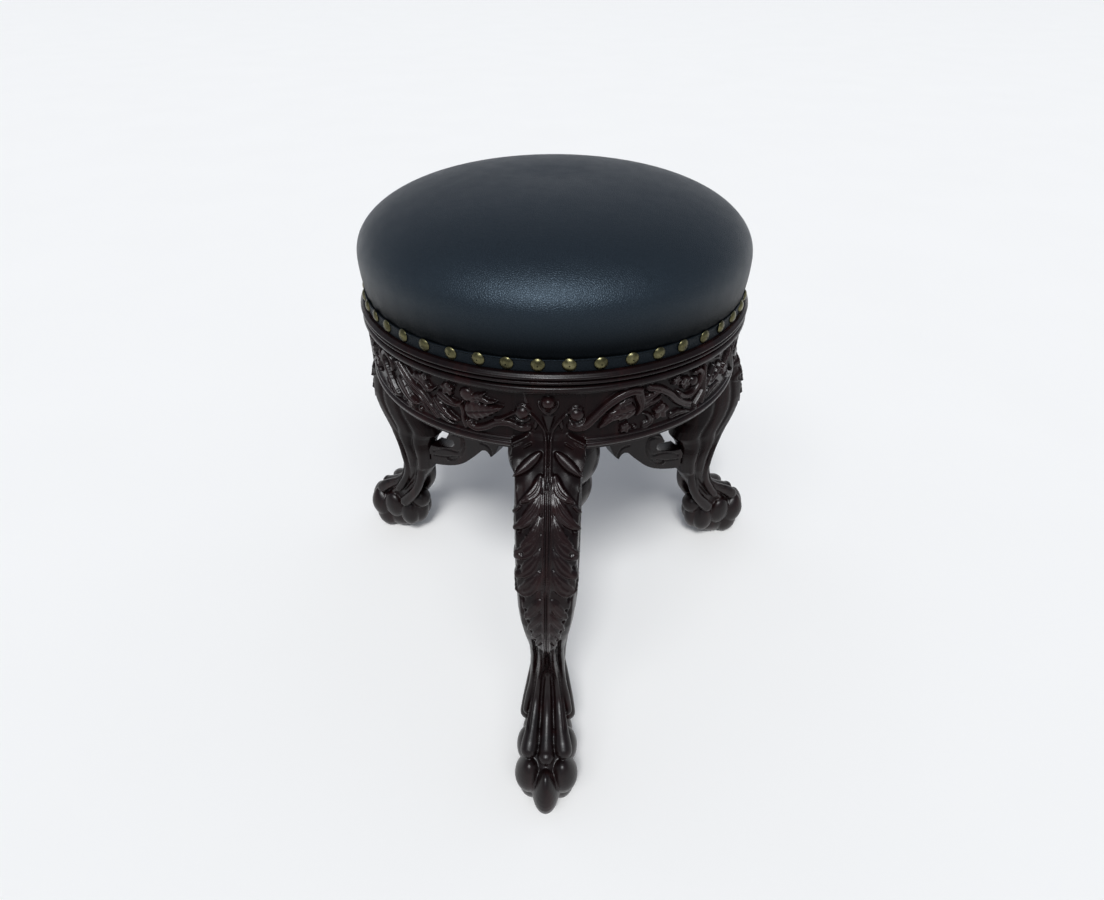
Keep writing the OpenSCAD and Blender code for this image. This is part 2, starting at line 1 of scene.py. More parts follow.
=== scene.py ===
"""Revolving piano stool: leather seat on a screw, over a carved base with three paw-footed legs."""
from math import asin, cos, pi, radians, sin, sqrt, tan

import bpy
import numpy as np
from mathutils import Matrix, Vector


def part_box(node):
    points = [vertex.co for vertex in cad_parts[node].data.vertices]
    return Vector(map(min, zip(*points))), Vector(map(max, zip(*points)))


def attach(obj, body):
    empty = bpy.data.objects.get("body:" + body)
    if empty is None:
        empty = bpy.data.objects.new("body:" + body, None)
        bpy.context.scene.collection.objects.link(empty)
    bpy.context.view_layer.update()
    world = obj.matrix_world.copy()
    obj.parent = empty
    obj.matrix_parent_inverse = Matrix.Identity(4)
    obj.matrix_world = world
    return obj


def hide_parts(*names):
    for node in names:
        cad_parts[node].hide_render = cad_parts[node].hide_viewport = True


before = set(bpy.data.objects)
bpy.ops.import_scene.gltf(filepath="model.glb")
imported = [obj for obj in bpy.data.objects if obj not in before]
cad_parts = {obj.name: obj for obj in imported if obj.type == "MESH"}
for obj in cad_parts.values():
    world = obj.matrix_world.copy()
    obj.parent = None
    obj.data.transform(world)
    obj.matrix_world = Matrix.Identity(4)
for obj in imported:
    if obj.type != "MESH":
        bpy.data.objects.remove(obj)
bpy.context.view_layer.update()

MM = 0.001

# Sizes from the CAD model
def measure(box):
    """The radius, lowest height and highest height of something round the seat's axis."""
    low, high = box
    return (high.x - low.x) / 2, low.z, high.z


AXIS_Y = sum(corner.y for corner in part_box("seat_rim")) / 2
RIM_R, RIM_LOW, _ = measure(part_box("seat_rim"))
STRIP_R, STRIP_LOW, STRIP_TOP = measure(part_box("nailed_strip"))
CUSHION_R, _, CUSHION_TOP = measure(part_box("seat_cover"))
APRON_LOW, APRON_HIGH = (corner.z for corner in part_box("apron_back"))
LEG_ANGLES = {"leg_front": -90, "leg_right": 30, "leg_left": 150}

GROUND_R = 179 * MM      # the frieze's ground
APRON_T = 18 * MM
POST_R = 180.5 * MM      # the face of a leg's upper block in the CAD model
LAP_FROM = 22 * MM       # an apron's carving runs on this near to the middle of the leg's block
LAP_AT = 26.5 * MM       # and the block's carving gives way to it here
LAP_SINK = 0.35 * MM
LEG_VOXEL, QUICK_VOXEL, ARM_VOXEL = 0.85 * MM, 1.2 * MM, 0.9 * MM


# Mesh helpers
def assign(thing, **values):
    """Sets several attributes of a thing, and gives it back."""
    for name, value in values.items():
        setattr(thing, name, value)
    return thing


def add_object(name, data, **values):
    obj = assign(bpy.data.objects.new(name, data), **values)
    bpy.context.scene.collection.objects.link(obj)
    return obj


def mesh_object(name, co, *faces):
    """A smooth-shaded mesh object from an (n, 3) array and arrays of triangles or quads."""
    corners = np.concatenate([group.ravel() for group in faces]).astype(np.int32)
    sides = np.concatenate([np.full(len(group), group.shape[1], np.int32) for group in faces])
    mesh = bpy.data.meshes.new(name)
    mesh.vertices.add(len(co))
    mesh.vertices.foreach_set("co", np.asarray(co, np.float32).ravel())
    mesh.loops.add(len(corners))
    mesh.loops.foreach_set("vertex_index", corners)
    mesh.polygons.add(len(sides))
    mesh.polygons.foreach_set("loop_start", (np.cumsum(sides) - sides).astype(np.int32))
    mesh.update(calc_edges=True)
    mesh.validate()
    mesh.shade_smooth()
    return add_object(name, mesh)


def grid_faces(rows, cols, wrap_cols=True, wrap_rows=False):
    """Quads of a grid whose points are stored row by row."""
    r = np.arange(rows if wrap_rows else rows - 1)
    c = np.arange(cols if wrap_cols else cols - 1)
    rr, cc = np.meshgrid(r, c, indexing="ij")
    r2, c2 = (rr + 1) % rows, (cc + 1) % cols
    quads = np.stack([rr * cols + cc, rr * cols + c2, r2 * cols + c2, r2 * cols + cc], -1)
    return quads.reshape(-1, 4)


def triangles(faces):
    """Each quad as two triangles; triangles stay as they are."""
    return faces if faces.shape[1] == 3 else np.vstack([faces[:, [0, 1, 2]], faces[:, [0, 2, 3]]])


def fan(ring, tip, flip=False):
    """Triangles from a closed ring of points to the point TIP."""
    ahead = np.roll(ring, -1)
    first, second = (ahead, ring) if flip else (ring, ahead)
    return np.stack([first, second, np.full(len(ring), tip)], -1)


def turns(count):
    """COUNT angles, evenly round a circle."""
    return np.linspace(0, 2 * pi, count, endpoint=False)


def turned(r, t, z, a):
    """Points given outwards, across and up in the planes at the angles A, set round the axis."""
    r, t, z, a = np.broadcast_arrays(r, t, z, a)
    x, y = r * np.cos(a) - t * np.sin(a), AXIS_Y + r * np.sin(a) + t * np.cos(a)
    return np.stack([x, y, z], -1).reshape(-1, 3)


def vectors(items, name):
    """What each of the items holds under NAME, as rows of three."""
    values = np.empty(len(items) * 3, np.float32)
    items.foreach_get(name, values)
    return values.reshape(-1, 3).astype(float)


def coords(obj):
    return vectors(obj.data.vertices, "co")


def normals(obj):
    return vectors(obj.data.vertex_normals, "vector")


def set_coords(obj, co):
    obj.data.vertices.foreach_set("co", np.asarray(co, np.float32).ravel())
    obj.data.update()


def set_field(obj, name, values):
    """Stores one number per vertex, which a material can read."""
    field = obj.data.attributes.new(name, "FLOAT", "POINT")
    field.data.foreach_set("value", np.asarray(values, np.float32))


def apply_modifiers(obj):
    depsgraph = bpy.context.evaluated_depsgraph_get()
    mesh = bpy.data.meshes.new_from_object(obj.evaluated_get(depsgraph))
    old = obj.data
    obj.modifiers.clear()
    obj.data = mesh
    bpy.data.meshes.remove(old)
    obj.data.name = obj.name
    obj.data.shade_smooth()


def remesh(obj, voxel):
    assign(obj.modifiers.new("remesh", "REMESH"), mode="VOXEL", voxel_size=voxel, use_smooth_shade=True)
    assign(obj.modifiers.new("smooth", "SMOOTH"), factor=0.5, iterations=3)
    apply_modifiers(obj)


def spline(points, steps):
    """Catmull-Rom curve through the points, STEPS to a span."""
    p = np.asarray(points, float)
    p = np.vstack([2 * p[0] - p[1], p, 2 * p[-1] - p[-2]])
    k = (np.arange(steps) / steps)[:, None]
    spans = [0.5 * (2 * b + (c - a) * k + (2 * a - 5 * b + 4 * c - d) * k ** 2
                    + (3 * b - 3 * c + d - a) * k ** 3) for a, b, c, d in zip(p, p[1:], p[2:], p[3:])]
    return np.vstack(spans + [p[-2]])


def smoothstep(low, high, v):
    """Rises smoothly from 0 at LOW to 1 at HIGH."""
    k = np.clip((v - low) / (high - low), 0, 1)
    return k * k * (3 - 2 * k)


def fade(low, high, v):
    """The same between two sizes in millimetres, where V is in metres."""
    return smoothstep(low * MM, high * MM, v)


def dome(k):
    """A half circle's height over K, which is 0 in its middle and 1 at its edge."""
    return np.sqrt(np.clip(1 - k ** 2, 0, 1))


# Relief carving
SMOOTH = {"veins": 0, "scallop": 0}     # a leaf without veins or a scalloped edge
PLAIN = {**SMOOTH, "rib": 0}            # and without a middle rib


def mirror(side, points):
    """Points given for one half of a symmetrical carving, on the SIDE that is 1 or -1."""
    return [(side * u, v) for u, v in points]


class Relief:
    """A height map, in millimetres, that strokes and leaves are carved on."""

    def __init__(self, u0, u1, v0, v1, step):
        self.step = step
        self.u = np.arange(u0, u1 + step / 2, step)
        self.v = np.arange(v0, v1 + step / 2, step)
        self.h = np.zeros((len(self.v), len(self.u)))

    def window(self, low, high):
        """The pixels between two corners: their slices, and the places along and up of each."""
        cols = slice(*np.searchsorted(self.u, [low[0], high[0]]))
        rows = slice(*np.searchsorted(self.v, [low[1], high[1]]))
        return (rows, cols), *np.meshgrid(self.u[cols], self.v[rows])

    def near(self, path, reach):
        """Pixels round a path: their window, share along it, and signed distance from it."""
        window, uu, vv = self.window(path.min(0) - reach, path.max(0) + reach)
        best, share, side = np.full(uu.shape, np.inf), np.zeros(uu.shape), np.zeros(uu.shape)
        lengths = np.hypot(*np.diff(path, axis=0).T)
        run = 0.0
        for a, b, length in zip(path[:-1], path[1:], lengths):
            du, dv = (b - a) / length
            along = np.clip((uu - a[0]) * du + (vv - a[1]) * dv, 0, length)
            off_u, off_v = uu - a[0] - along * du, vv - a[1] - along * dv
            d = np.hypot(off_u, off_v)
            closer = d < best
            best = np.where(closer, d, best)
            share = np.where(closer, (run + along) / lengths.sum(), share)
            side = np.where(closer, np.sign(du * off_v - dv * off_u), side)
            run += length
        return window, share, best * side

    def put(self, window, value, mask):
        old = self.h[window]
        self.h[window] = np.where(mask, np.maximum(old, value), old)

    def stem(self, points, width, height, grooved=False, taper=(1, 1), base=0, tips=0.05):
        """A rounded stem, which may have a groove between two ridges and come to points over its TIPS."""
        window, s, d = self.near(spline(points, 8), width)
        w = width / 2 * (taper[0] + (taper[1] - taper[0]) * s)
        end = np.clip(np.minimum(s, 1 - s) / tips, 0.002, 1)
        w = w * np.sqrt(end)
        height = height * end ** 0.7
        k = np.abs(d) / w
        body = dome(k)
        if grooved:
            body = np.where(k < 1, dome(2 * k - 1) * 0.45 + 0.55 * body ** 0.4, 0)
        self.put(window, base + height * body, k < 1)

    def leaf(self, points, width, height, veins=5, base=0, edge=0.45, curl=0.25, rib=0.5, scallop=0.12,
             ends=(0.45, 0.9)):
        """A leaf along a curved spine: domed, veined, with a scalloped edge and a raised tip."""
        window, s, d = self.near(spline(points, 8), width)
        w = width / 2 * np.sin(pi * np.clip(s, 0, 1) ** ends[0]) ** ends[1] + 1e-6
        w *= 1 + scallop * np.sin(2 * pi * (veins * s - 0.25))
        k = np.abs(d) / w
        inside = (k < 1) & (s > 0) & (s < 1)
        lift = 1 - curl + curl * s * 2
        mid = np.exp(-(d / rib) ** 2) if rib else 0
        value = height * ((edge + (1 - edge) * dome(k)) * lift - 0.35 * mid)
        if veins:
            value -= 0.18 * height * (1 - np.abs(np.sin(pi * (veins * s - 0.7 * k)))) * k ** 0.5
        self.put(window, base + value, inside)

    def disc(self, u, v, r, reach=1):
        """Pixels as far as REACH radii from a point: their window, and their distance from it in radii."""
        window, uu, vv = self.window((u - reach * r, v - reach * r), (u + reach * r, v + reach * r))
        return window, np.hypot(uu - u, vv - v) / r

    def boss(self, u, v, r, height, base=0):
        window, k = self.disc(u, v, r)
        self.put(window, base + height * dome(k), k < 1)

    def groove(self, points, width, depth):
        window, _, d = self.near(spline(points, 8), 2 * width)
        self.h[window] -= depth * np.exp(-(2 * d / width) ** 2)

    def pit(self, u, v, r, depth):
        window, k = self.disc(u, v, r, 2)
        self.h[window] -= depth * np.exp(-k ** 2)

    def flower(self, u, v, r, height, turn=0):
        for a in turn + turns(5):
            petal = [(u + k * r * cos(a), v + k * r * sin(a)) for k in (0.15, 0.6, 1)]
            self.leaf(petal, r * 0.85, height, edge=0.55, curl=0.1, ends=(0.8, 0.6), **PLAIN)
        self.boss(u, v, r * 0.3, height * 0.75, base=0.4)

    def blur(self):
        h = np.pad(self.h, 1, mode="edge")
        self.h = (4 * h[1:-1, 1:-1] + h[:-2, 1:-1] + h[2:, 1:-1] + h[1:-1, :-2] + h[1:-1, 2:]) / 8

    def sample(self, u, v):
        """Heights in metres at points given in metres."""
        fu = np.clip((u / MM - self.u[0]) / self.step, 0, len(self.u) - 1.001)
        fv = np.clip((v / MM - self.v[0]) / self.step, 0, len(self.v) - 1.001)
        i, j = fu.astype(int), fv.astype(int)
        a, b = fu - i, fv - j
        h = self.h
        return MM * ((1 - b) * ((1 - a) * h[j, i] + a * h[j, i + 1])
                     + b * ((1 - a) * h[j + 1, i] + a * h[j + 1, i + 1]))


BAY = 2 * pi * GROUND_R / MM / 3     # length of the frieze from one leg's middle to the next
FRIEZE_LOW, FRIEZE_TOP = 356, 414
FRIEZE_DEPTH = 1.25                  # how much deeper the frieze is cut than it is drawn
FRIEZE_STEP, LEG_STEP, ARM_STEP = 0.45, 0.4, 0.5


def carve_frieze():
    """The frieze from the middle of one bay to the next, with a leg's middle at 0."""
    f = Relief(-BAY / 2, BAY / 2, FRIEZE_LOW, FRIEZE_TOP, FRIEZE_STEP)
    # left of the leg: a stem from the volute to a curl, and the great curled leaf over it
    f.stem([(-13, 381), (-22, 378), (-32, 382), (-42, 381), (-52, 375), (-61, 372), (-67, 375), (-64, 379)],
           6.5, 3.4, True)
    f.stem([(-18, 396), (-28, 392), (-38, 386), (-46, 384)], 4, 3, taper=(1, 0.4))
    f.leaf([(-70, 386), (-60, 389), (-50, 392), (-36, 397)], 17, 4.4, veins=6, curl=0.2, scallop=0.1)
    f.leaf([(-66, 398), (-58, 402), (-50, 400), (-41, 401)], 8, 3.6, veins=4)
    f.leaf([(-60, 396), (-56, 404), (-50, 408)], 6, 3.4, veins=3)
    f.boss(-69, 402, 6.5, 3.2)
    f.leaf([(-98, 396), (-88, 392), (-78, 391), (-71, 396)], 10, 3.8, **SMOOTH)
    f.stem([(-76, 394), (-73, 386), (-73, 378), (-70, 369)], 4.5, 3)
    f.leaf([(-102, 391), (-95, 383), (-87, 378), (-76, 374)], 9, 4.2)
    f.leaf([(-104, 384), (-98, 376), (-90, 372), (-80, 369)], 6, 3.4)
    f.flower(-86, 404, 6.5, 3.6, turn=0.3)
    # diagonal vines with pointed leaves between them
    f.stem([(-96, 370), (-106, 380), (-116, 390), (-128, 396), (-138, 404), (-146, 411)], 5.5, 3.8, True)
    f.stem([(-108, 372), (-118, 384), (-130, 390), (-142, 398), (-152, 409)], 3.2, 3.2)
    f.leaf([(-150, 392), (-142, 384), (-132, 378), (-120, 376)], 12, 3.6, edge=0.7, **SMOOTH)
    f.leaf([(-126, 402), (-116, 402), (-106, 397), (-98, 401)], 10, 3.8)
    f.flower(-112, 406, 5, 3.2)
    f.flower(-133, 371.5, 5, 3.2, turn=0.5)
    f.boss(-121, 370.5, 2.4, 2.6)
    f.boss(-143, 372, 2.2, 2.4)
    f.stem([(-150, 370), (-160, 378), (-170, 390), (-176, 400), (-170, 408), (-160, 407), (-156, 399),
            (-162, 393)], 4.6, 3.6, True)
    f.leaf([(-178, 378), (-170, 373), (-160, 370), (-152, 373)], 8, 3.4, veins=4)
    f.leaf([(-186, 392), (-181, 400), (-182, 409)], 8, 3.4, veins=4)
    # right of the leg: a broad stem swings up from the volute and over
    f.stem([(15, 384), (22, 379.5), (30, 381), (38, 389), (47, 398), (58, 405), (70, 408), (80, 405)],
           7.5, 3.8, True)
    f.leaf([(72, 391), (62, 389), (52, 387), (40, 377)], 15, 4.2, veins=6, curl=0.1, scallop=0.08)
    f.leaf([(70, 400), (64, 399), (58, 397), (52, 393)], 7, 3.4, veins=4)
    f.leaf([(73, 409), (76, 400), (77, 391), (72, 383)], 9, 4.2, **SMOOTH)
    f.leaf([(75, 394), (83, 398), (90, 401), (98, 405)], 9, 3.8)
    f.leaf([(76, 389), (84, 392), (92, 394), (99, 398)], 7, 3.4)
    f.stem([(80, 409), (92, 405), (104, 397), (114, 387), (124, 380), (134, 376)], 6.5, 3.9, True)
    f.flower(97, 382, 8, 3.8, turn=0.2)
    f.flower(64, 374, 5.5, 3.2)
    f.boss(73, 372, 2.4, 2.6)
    f.leaf([(80, 370), (88, 374), (84, 382), (78, 384)], 7, 3.2, veins=3)
    f.leaf([(108, 371), (116, 373), (126, 371), (134, 368)], 7, 3.2, veins=4)
    f.flower(111, 407, 5, 3.4)
    f.flower(121, 402, 6, 3.6, turn=0.6)
    f.stem([(114, 395), (122, 388), (132, 387), (140, 393), (143, 402), (137, 408), (130, 405)],
           4.6, 3.8, True)
    f.boss(134, 398, 5, 3.2)
    f.stem([(146, 411), (148, 396), (150, 382), (148, 369)], 4, 3.4)
    f.stem([(137, 371), (146, 380), (155, 390), (164, 404)], 3.6, 3.2)
    f.leaf([(152, 392), (160, 388), (168, 392), (176, 402)], 10, 3.8)
    f.leaf([(154, 372), (162, 378), (172, 380), (182, 376)], 9, 3.6)
    f.flower(170, 410, 4, 3)
    f.flower(184, 390, 6, 3.6, turn=0.4)
    f.boss(141, 369, 2.2, 2.4)
    f.blur()
    return f


def leg_head(f):
    """The ribs, the leaves beside them and the moulding's returns at the top of a leg."""
    for side in (-1, 1):
        f.stem(mirror(side, [(16.5, 394), (11.5, 389.6), (6.8, 383), (3.2, 376), (1.9, 368), (1.8, 356),
                             (1.8, 340)]), 2.3, 2.6, base=1.6, taper=(0.9, 0.8))
        f.stem(mirror(side, [(31, 366.2), (27.5, 367.6), (21, 370.4), (15, 373.4)]), 2.2, 1.6, taper=(1, 0.6))
        f.stem(mirror(side, [(32, 363), (27.5, 364.4), (21, 367.2)]), 1.5, 1.2, taper=(1, 0.4))
        f.leaf(mirror(side, [(9, 387), (10.4, 381), (11.6, 375)]), 3.6, 2.6, **SMOOTH)


LEAF_OUTLINE = [(0, 179), (6.5, 194), (9.5, 203), (12, 216), (15, 230), (17.5, 244), (20.5, 255), (25, 268),
                (26.5, 290), (27.5, 313), (27, 325), (20, 333), (10, 340), (4, 346), (2, 352)]
# root, middle, tip and width of the lobes on one side, from the leaf's tip upwards
LOBES = [((2.5, 222), (5.5, 210), (8.5, 200), 6), ((3, 234), (7.5, 224), (11.8, 214), 7.5),
         ((3, 247), (9, 236), (14.8, 226), 8.5), ((3.5, 261), (10.5, 249), (17.2, 240), 10),
         ((4, 284), (13, 270), (22.5, 262.5), 14), ((4, 300), (13, 286), (25.5, 274), 12),
         ((5, 311), (14, 299), (28, 289), 12), ((5, 322), (10.5, 309.5), (20.5, 300), 9),
         ((5, 336), (11.5, 323.5), (26, 310.5), 11), ((5.2, 347), (9.8, 336.5), (22, 329), 8.5)]
MIDDLE_RIDGES = [(-2.8, 262, 348), (0.5, 268, 345), (3.6, 262, 348), (-1.9, 183, 272), (1.9, 183, 272)]
KNEE_HOLLOWS = [(15, 362, 7), (25, 357, 6), (14, 349, 7), (24, 340, 7)]
DRILLED = [(22.2, 310.5, 1.7), (21.5, 282.5, 2.1), (19, 295, 1.1), (19, 257.5, 1.7), (16.4, 247.5, 1.2),
           (14.4, 236.5, 1.1), (12.2, 224, 1), (9.4, 211, 0.9)]


def carve_plate(a):
    """The plate that the leaf's lobes lie on, toothed along its lower edges."""
    half_width, height = np.array(LEAF_OUTLINE).T
    half = np.interp(a.v, height, half_width, left=-5, right=-5)
    teeth = 1 + 0.09 * np.abs(np.sin(pi * (a.v - 180) / 13)) * smoothstep(256, 246, a.v)
    edge = (half * teeth)[:, None] - np.abs(a.u)
    a.h = np.maximum(a.h, 1.5 * smoothstep(0, 1.2, edge))


def carve_lobe(a, side, root, mid, tip, width, base):
    """A lobe of the leaf: a plain leaf under a fan of three rounded ridges."""
    a.leaf(mirror(side, (root, mid, tip)), width, 2.2, base=base, edge=0.3, ends=(0.7, 0.7), **PLAIN)
    along = np.subtract(tip, root) / np.hypot(*np.subtract(tip, root))
    across = np.array([along[1], -along[0]])
    for shift, size in ((-0.30, 0.8), (0.02, 1), (0.32, 0.8)):
        strand = [np.add(root, across * shift * 1.2), np.add(mid, across * shift * width),
                  np.add(tip, across * shift * width * 0.25)]
        a.stem(mirror(side, strand), 0.27 * width * size, 1.9, base=base + 1.25 - abs(shift),
               taper=(0.6, 1), tips=0.25)


def carve_leg():
    """The front of a leg: an acanthus leaf, and the grooves that run from its tip to the toes."""
    a = Relief(-36, 36, 70, 384, LEG_STEP)
    carve_plate(a)
    for side in (-1, 1):
        # each lobe lies over the one below
        for i, lobe in enumerate(LOBES):
            carve_lobe(a, side, *lobe, 0.5 + 0.16 * i)
        # hollows that carry the long lens, then the lens, and the outer curl over a drilled hollow
        for u, v, r in KNEE_HOLLOWS:
            a.pit(side * u, v, r, 1.5)
        a.leaf(mirror(side, [(5.5, 361), (16, 353.5), (28, 345)]), 8, 3.4, base=0.2, edge=0.1, curl=0,
               ends=(0.8, 0.6), **PLAIN)
        a.stem(mirror(side, [(21.5, 363.5), (13.5, 367)]), 1.6, 1.6, taper=(0.6, 1))
        a.stem(mirror(side, [(20.5, 328), (26.4, 321.5), (27.4, 316.5), (25, 310.5)]), 2, 1.4, base=2.6)
        a.stem(mirror(side, [(9, 313), (13, 308.8), (17, 307.4)]), 1.6, 1, base=3.2)
        # the rim of the round cups
        a.stem(mirror(side, [(25.5, 275), (25.8, 268.5), (22, 263.6), (16, 262.4), (10.5, 265)]), 1.8, 1.6,
               base=2.4)
        for u, v, r in DRILLED:
            a.pit(side * u, v, r * 1.15, 2.6)
    # three ridges down the middle, which become two and end at the tip
    for u, low, high in MIDDLE_RIDGES:
        a.stem([(u, high), (u, (high + low) / 2), (u * 0.75, low)], 2.3, 2, base=2.2, taper=(0.9, 0.9),
               tips=0.12)
    a.blur()
    leg_head(a)
    # below the tip, a slot between the ridges that run down to the toes
    a.groove([(0, 181), (0, 160), (0, 128)], 3, 2.8)
    for side in (-1, 1):
        a.groove(mirror(side, [(11, 204), (10.3, 180), (10.2, 156), (12.2, 128), (14.2, 110), (16.4, 97),
                               (18.5, 87)]), 3, 2.8)
        a.groove(mirror(side, [(3.4, 134), (4.4, 122), (5.2, 106), (6.2, 92), (7.4, 82)]), 3.4, 1.2)
    a.blur()
    return a


def carve_block(f):
    """Adds the ornament of a leg's block: the ball in its cup, and a volute on each side of it."""
    leg_head(f)
    f.stem([(0, 392), (0, 384), (0, 374)], 11, 2, taper=(1, 0.25))
    f.boss(0, 399.5, 5.8, 4.2)
    f.boss(-0.2, 403.8, 6, 7.6)
    f.stem([(-7.4, 406), (-7.7, 401.5), (-5.2, 396.8), (0, 392.8), (5.2, 396.8), (7.7, 401.5), (7.4, 406)],
           1.9, 4, tips=0.1)
    for u, v, r in ((-21.3, 392.6, 6.2), (22.8, 391.3, 6.3)):
        f.boss(u, v, r, 5.6)
        side = 1 if u > 0 else -1
        for gap, first, last, width, height, taper, tips in ((1, 3, 0.75, 2.2, 4.4, (1, 0.7), 0.12),
                                                             (1.6, -2.7, -0.5, 2.4, 3, (1, 1), 0.2)):
            path = [(u + side * (r + gap) * cos(k), v + (r + gap) * sin(k))
                    for k in np.linspace(first, last, 9)]
            f.stem(path, width, height, taper=taper, tips=tips)
    f.leaf([(-17.5, 401), (-18.3, 406), (-19.2, 412)], 3.2, 3, **SMOOTH)


def edge_mouldings(frieze):
    """The run of small mouldings along the frieze's lower edge, and the fillet along the top."""
    v = frieze.v
    bead = 3.6 * dome((v - 361.6) / 2.9)
    astragal = 2.4 * dome((v - 366.3) / 1.5)
    top = v > 410.6
    fillets = 1.4 * (v < 359) + 1.8 * top
    run = np.maximum(np.maximum(bead, astragal), fillets)[:, None]
    outside = np.abs(frieze.u) > 30.5     # past the leg's block, which has no run of its own
    frieze.h = np.where(outside | top[:, None], np.maximum(frieze.h, run), frieze.h)


FRIEZE = carve_frieze()
FRIEZE.h *= FRIEZE_DEPTH
carve_block(FRIEZE)
edge_mouldings(FRIEZE)
FRIEZE.blur()
LEAF = carve_leg()


# Aprons
def make_apron(name, centre):
    """A carved rail between two legs, in the middle of which CENTRE is its angle."""
    half = pi / 3 - asin(LAP_FROM / GROUND_R)
    rows, cols = 116, 680
    tt, zz = np.meshgrid(np.linspace(-half, half, cols), np.linspace(APRON_LOW, APRON_HIGH, rows))
    # the bay runs from the leg before (u > 0) to the leg after (u < 0)
    from_first = (tt + pi / 3) * GROUND_R
    u = np.where(tt < 0, from_first, from_first - BAY * MM)
    relief = FRIEZE.sample(u, zz)
    sunk = LAP_SINK * (1 - smoothstep(LAP_AT, LAP_AT + 1.5 * MM, np.abs(u)))
    # two more rows, down the flat back
    r = np.vstack([GROUND_R + relief - sunk, np.full((2, cols), GROUND_R - APRON_T)])
    z = np.vstack([zz, np.full((1, cols), APRON_HIGH), np.full((1, cols), APRON_LOW)])
    a = radians(centre) + np.vstack([tt, tt[:2]])
    obj = mesh_object(name, turned(r, 0, z, a), grid_faces(rows + 2, cols, wrap_cols=False, wrap_rows=True))
    set_field(obj, "relief", np.concatenate([relief.ravel(), np.zeros(2 * cols)]) / MM)
    return obj


# Solids for sculpting
def sweep(points, radii):
    """A round tube through points, with round ends."""
    path = spline(points, 6)
    r = np.interp(np.linspace(0, 1, len(path)), np.linspace(0, 1, len(radii)), radii)
    tangent = np.gradient(path, axis=0)
    tangent /= np.linalg.norm(tangent, axis=1)[:, None]
    side = np.cross(tangent, [0, 1, 0.001])
    side /= np.linalg.norm(side, axis=1)[:, None]
    other = np.cross(tangent, side)
    sides = 20
    a = turns(sides)[None, :, None]
    ring = np.cos(a) * side[:, None] + np.sin(a) * other[:, None]
    # past each end the path goes straight on, in smaller and smaller rings
    k = np.linspace(0, pi / 2, 5)[1:]
    middle = np.zeros(len(path))
    past = np.concatenate([-r[0] * np.sin(k[::-1]), middle, r[-1] * np.sin(k)])
    shrink = np.cos(np.concatenate([k[::-1], middle, k]))
    path, tangent, r, ring = (np.pad(v, [(len(k), len(k))] + [(0, 0)] * (v.ndim - 1), mode="edge")
                              for v in (path, tangent, r, ring))
    centres = path + tangent * past[:, None]
    co = centres[:, None] + ring * (r * shrink + 1e-5)[:, None, None]
    return co.reshape(-1, 3), grid_faces(len(co), sides)


def ellipsoid(centre, half, tilt, egg):
    """An ellipsoid in (out, across, up), leaning by TILT radians and drawn in at the top by EGG."""
    rows, cols = 20, 28
    pp, tt = np.meshgrid(np.linspace(0.02, pi - 0.02, rows), turns(cols), indexing="ij")
    shrink = 1 - egg * np.clip(np.cos(pp), 0, 1) ** 1.5
    x = half[0] * np.sin(pp) * np.cos(tt) * shrink
    y = half[1] * np.sin(pp) * np.sin(tt) * shrink
    z = half[2] * np.cos(pp)
    x, z = x * cos(tilt) + z * sin(tilt), -x * sin(tilt) + z * cos(tilt)
    return (np.stack([x, y, z], -1) + centre).reshape(-1, 3), grid_faces(rows, cols)


def join(parts):
    """One array of points and one of triangles from several."""
    co, faces, start = [], [], 0
    for points, corners in parts:
        co.append(points)
        faces.append(triangles(corners) + start)
        start += len(points)
    return np.vstack(co), np.vstack(faces)


def cad_solid(node):
    """A node's points and triangles, in the plane of the front leg."""
    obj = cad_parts[node]
    x, y, z = coords(obj).T
    y = y - AXIS_Y
    obj.data.calc_loop_triangles()
    tris = np.empty(len(obj.data.loop_triangles) * 3, np.int32)
    obj.data.loop_triangles.foreach_get("vertices", tris)
    a = radians(LEG_ANGLES["leg_front"])
    return np.stack([x * cos(a) + y * sin(a), -x * sin(a) + y * cos(a), z], -1), tris.reshape(-1, 3)


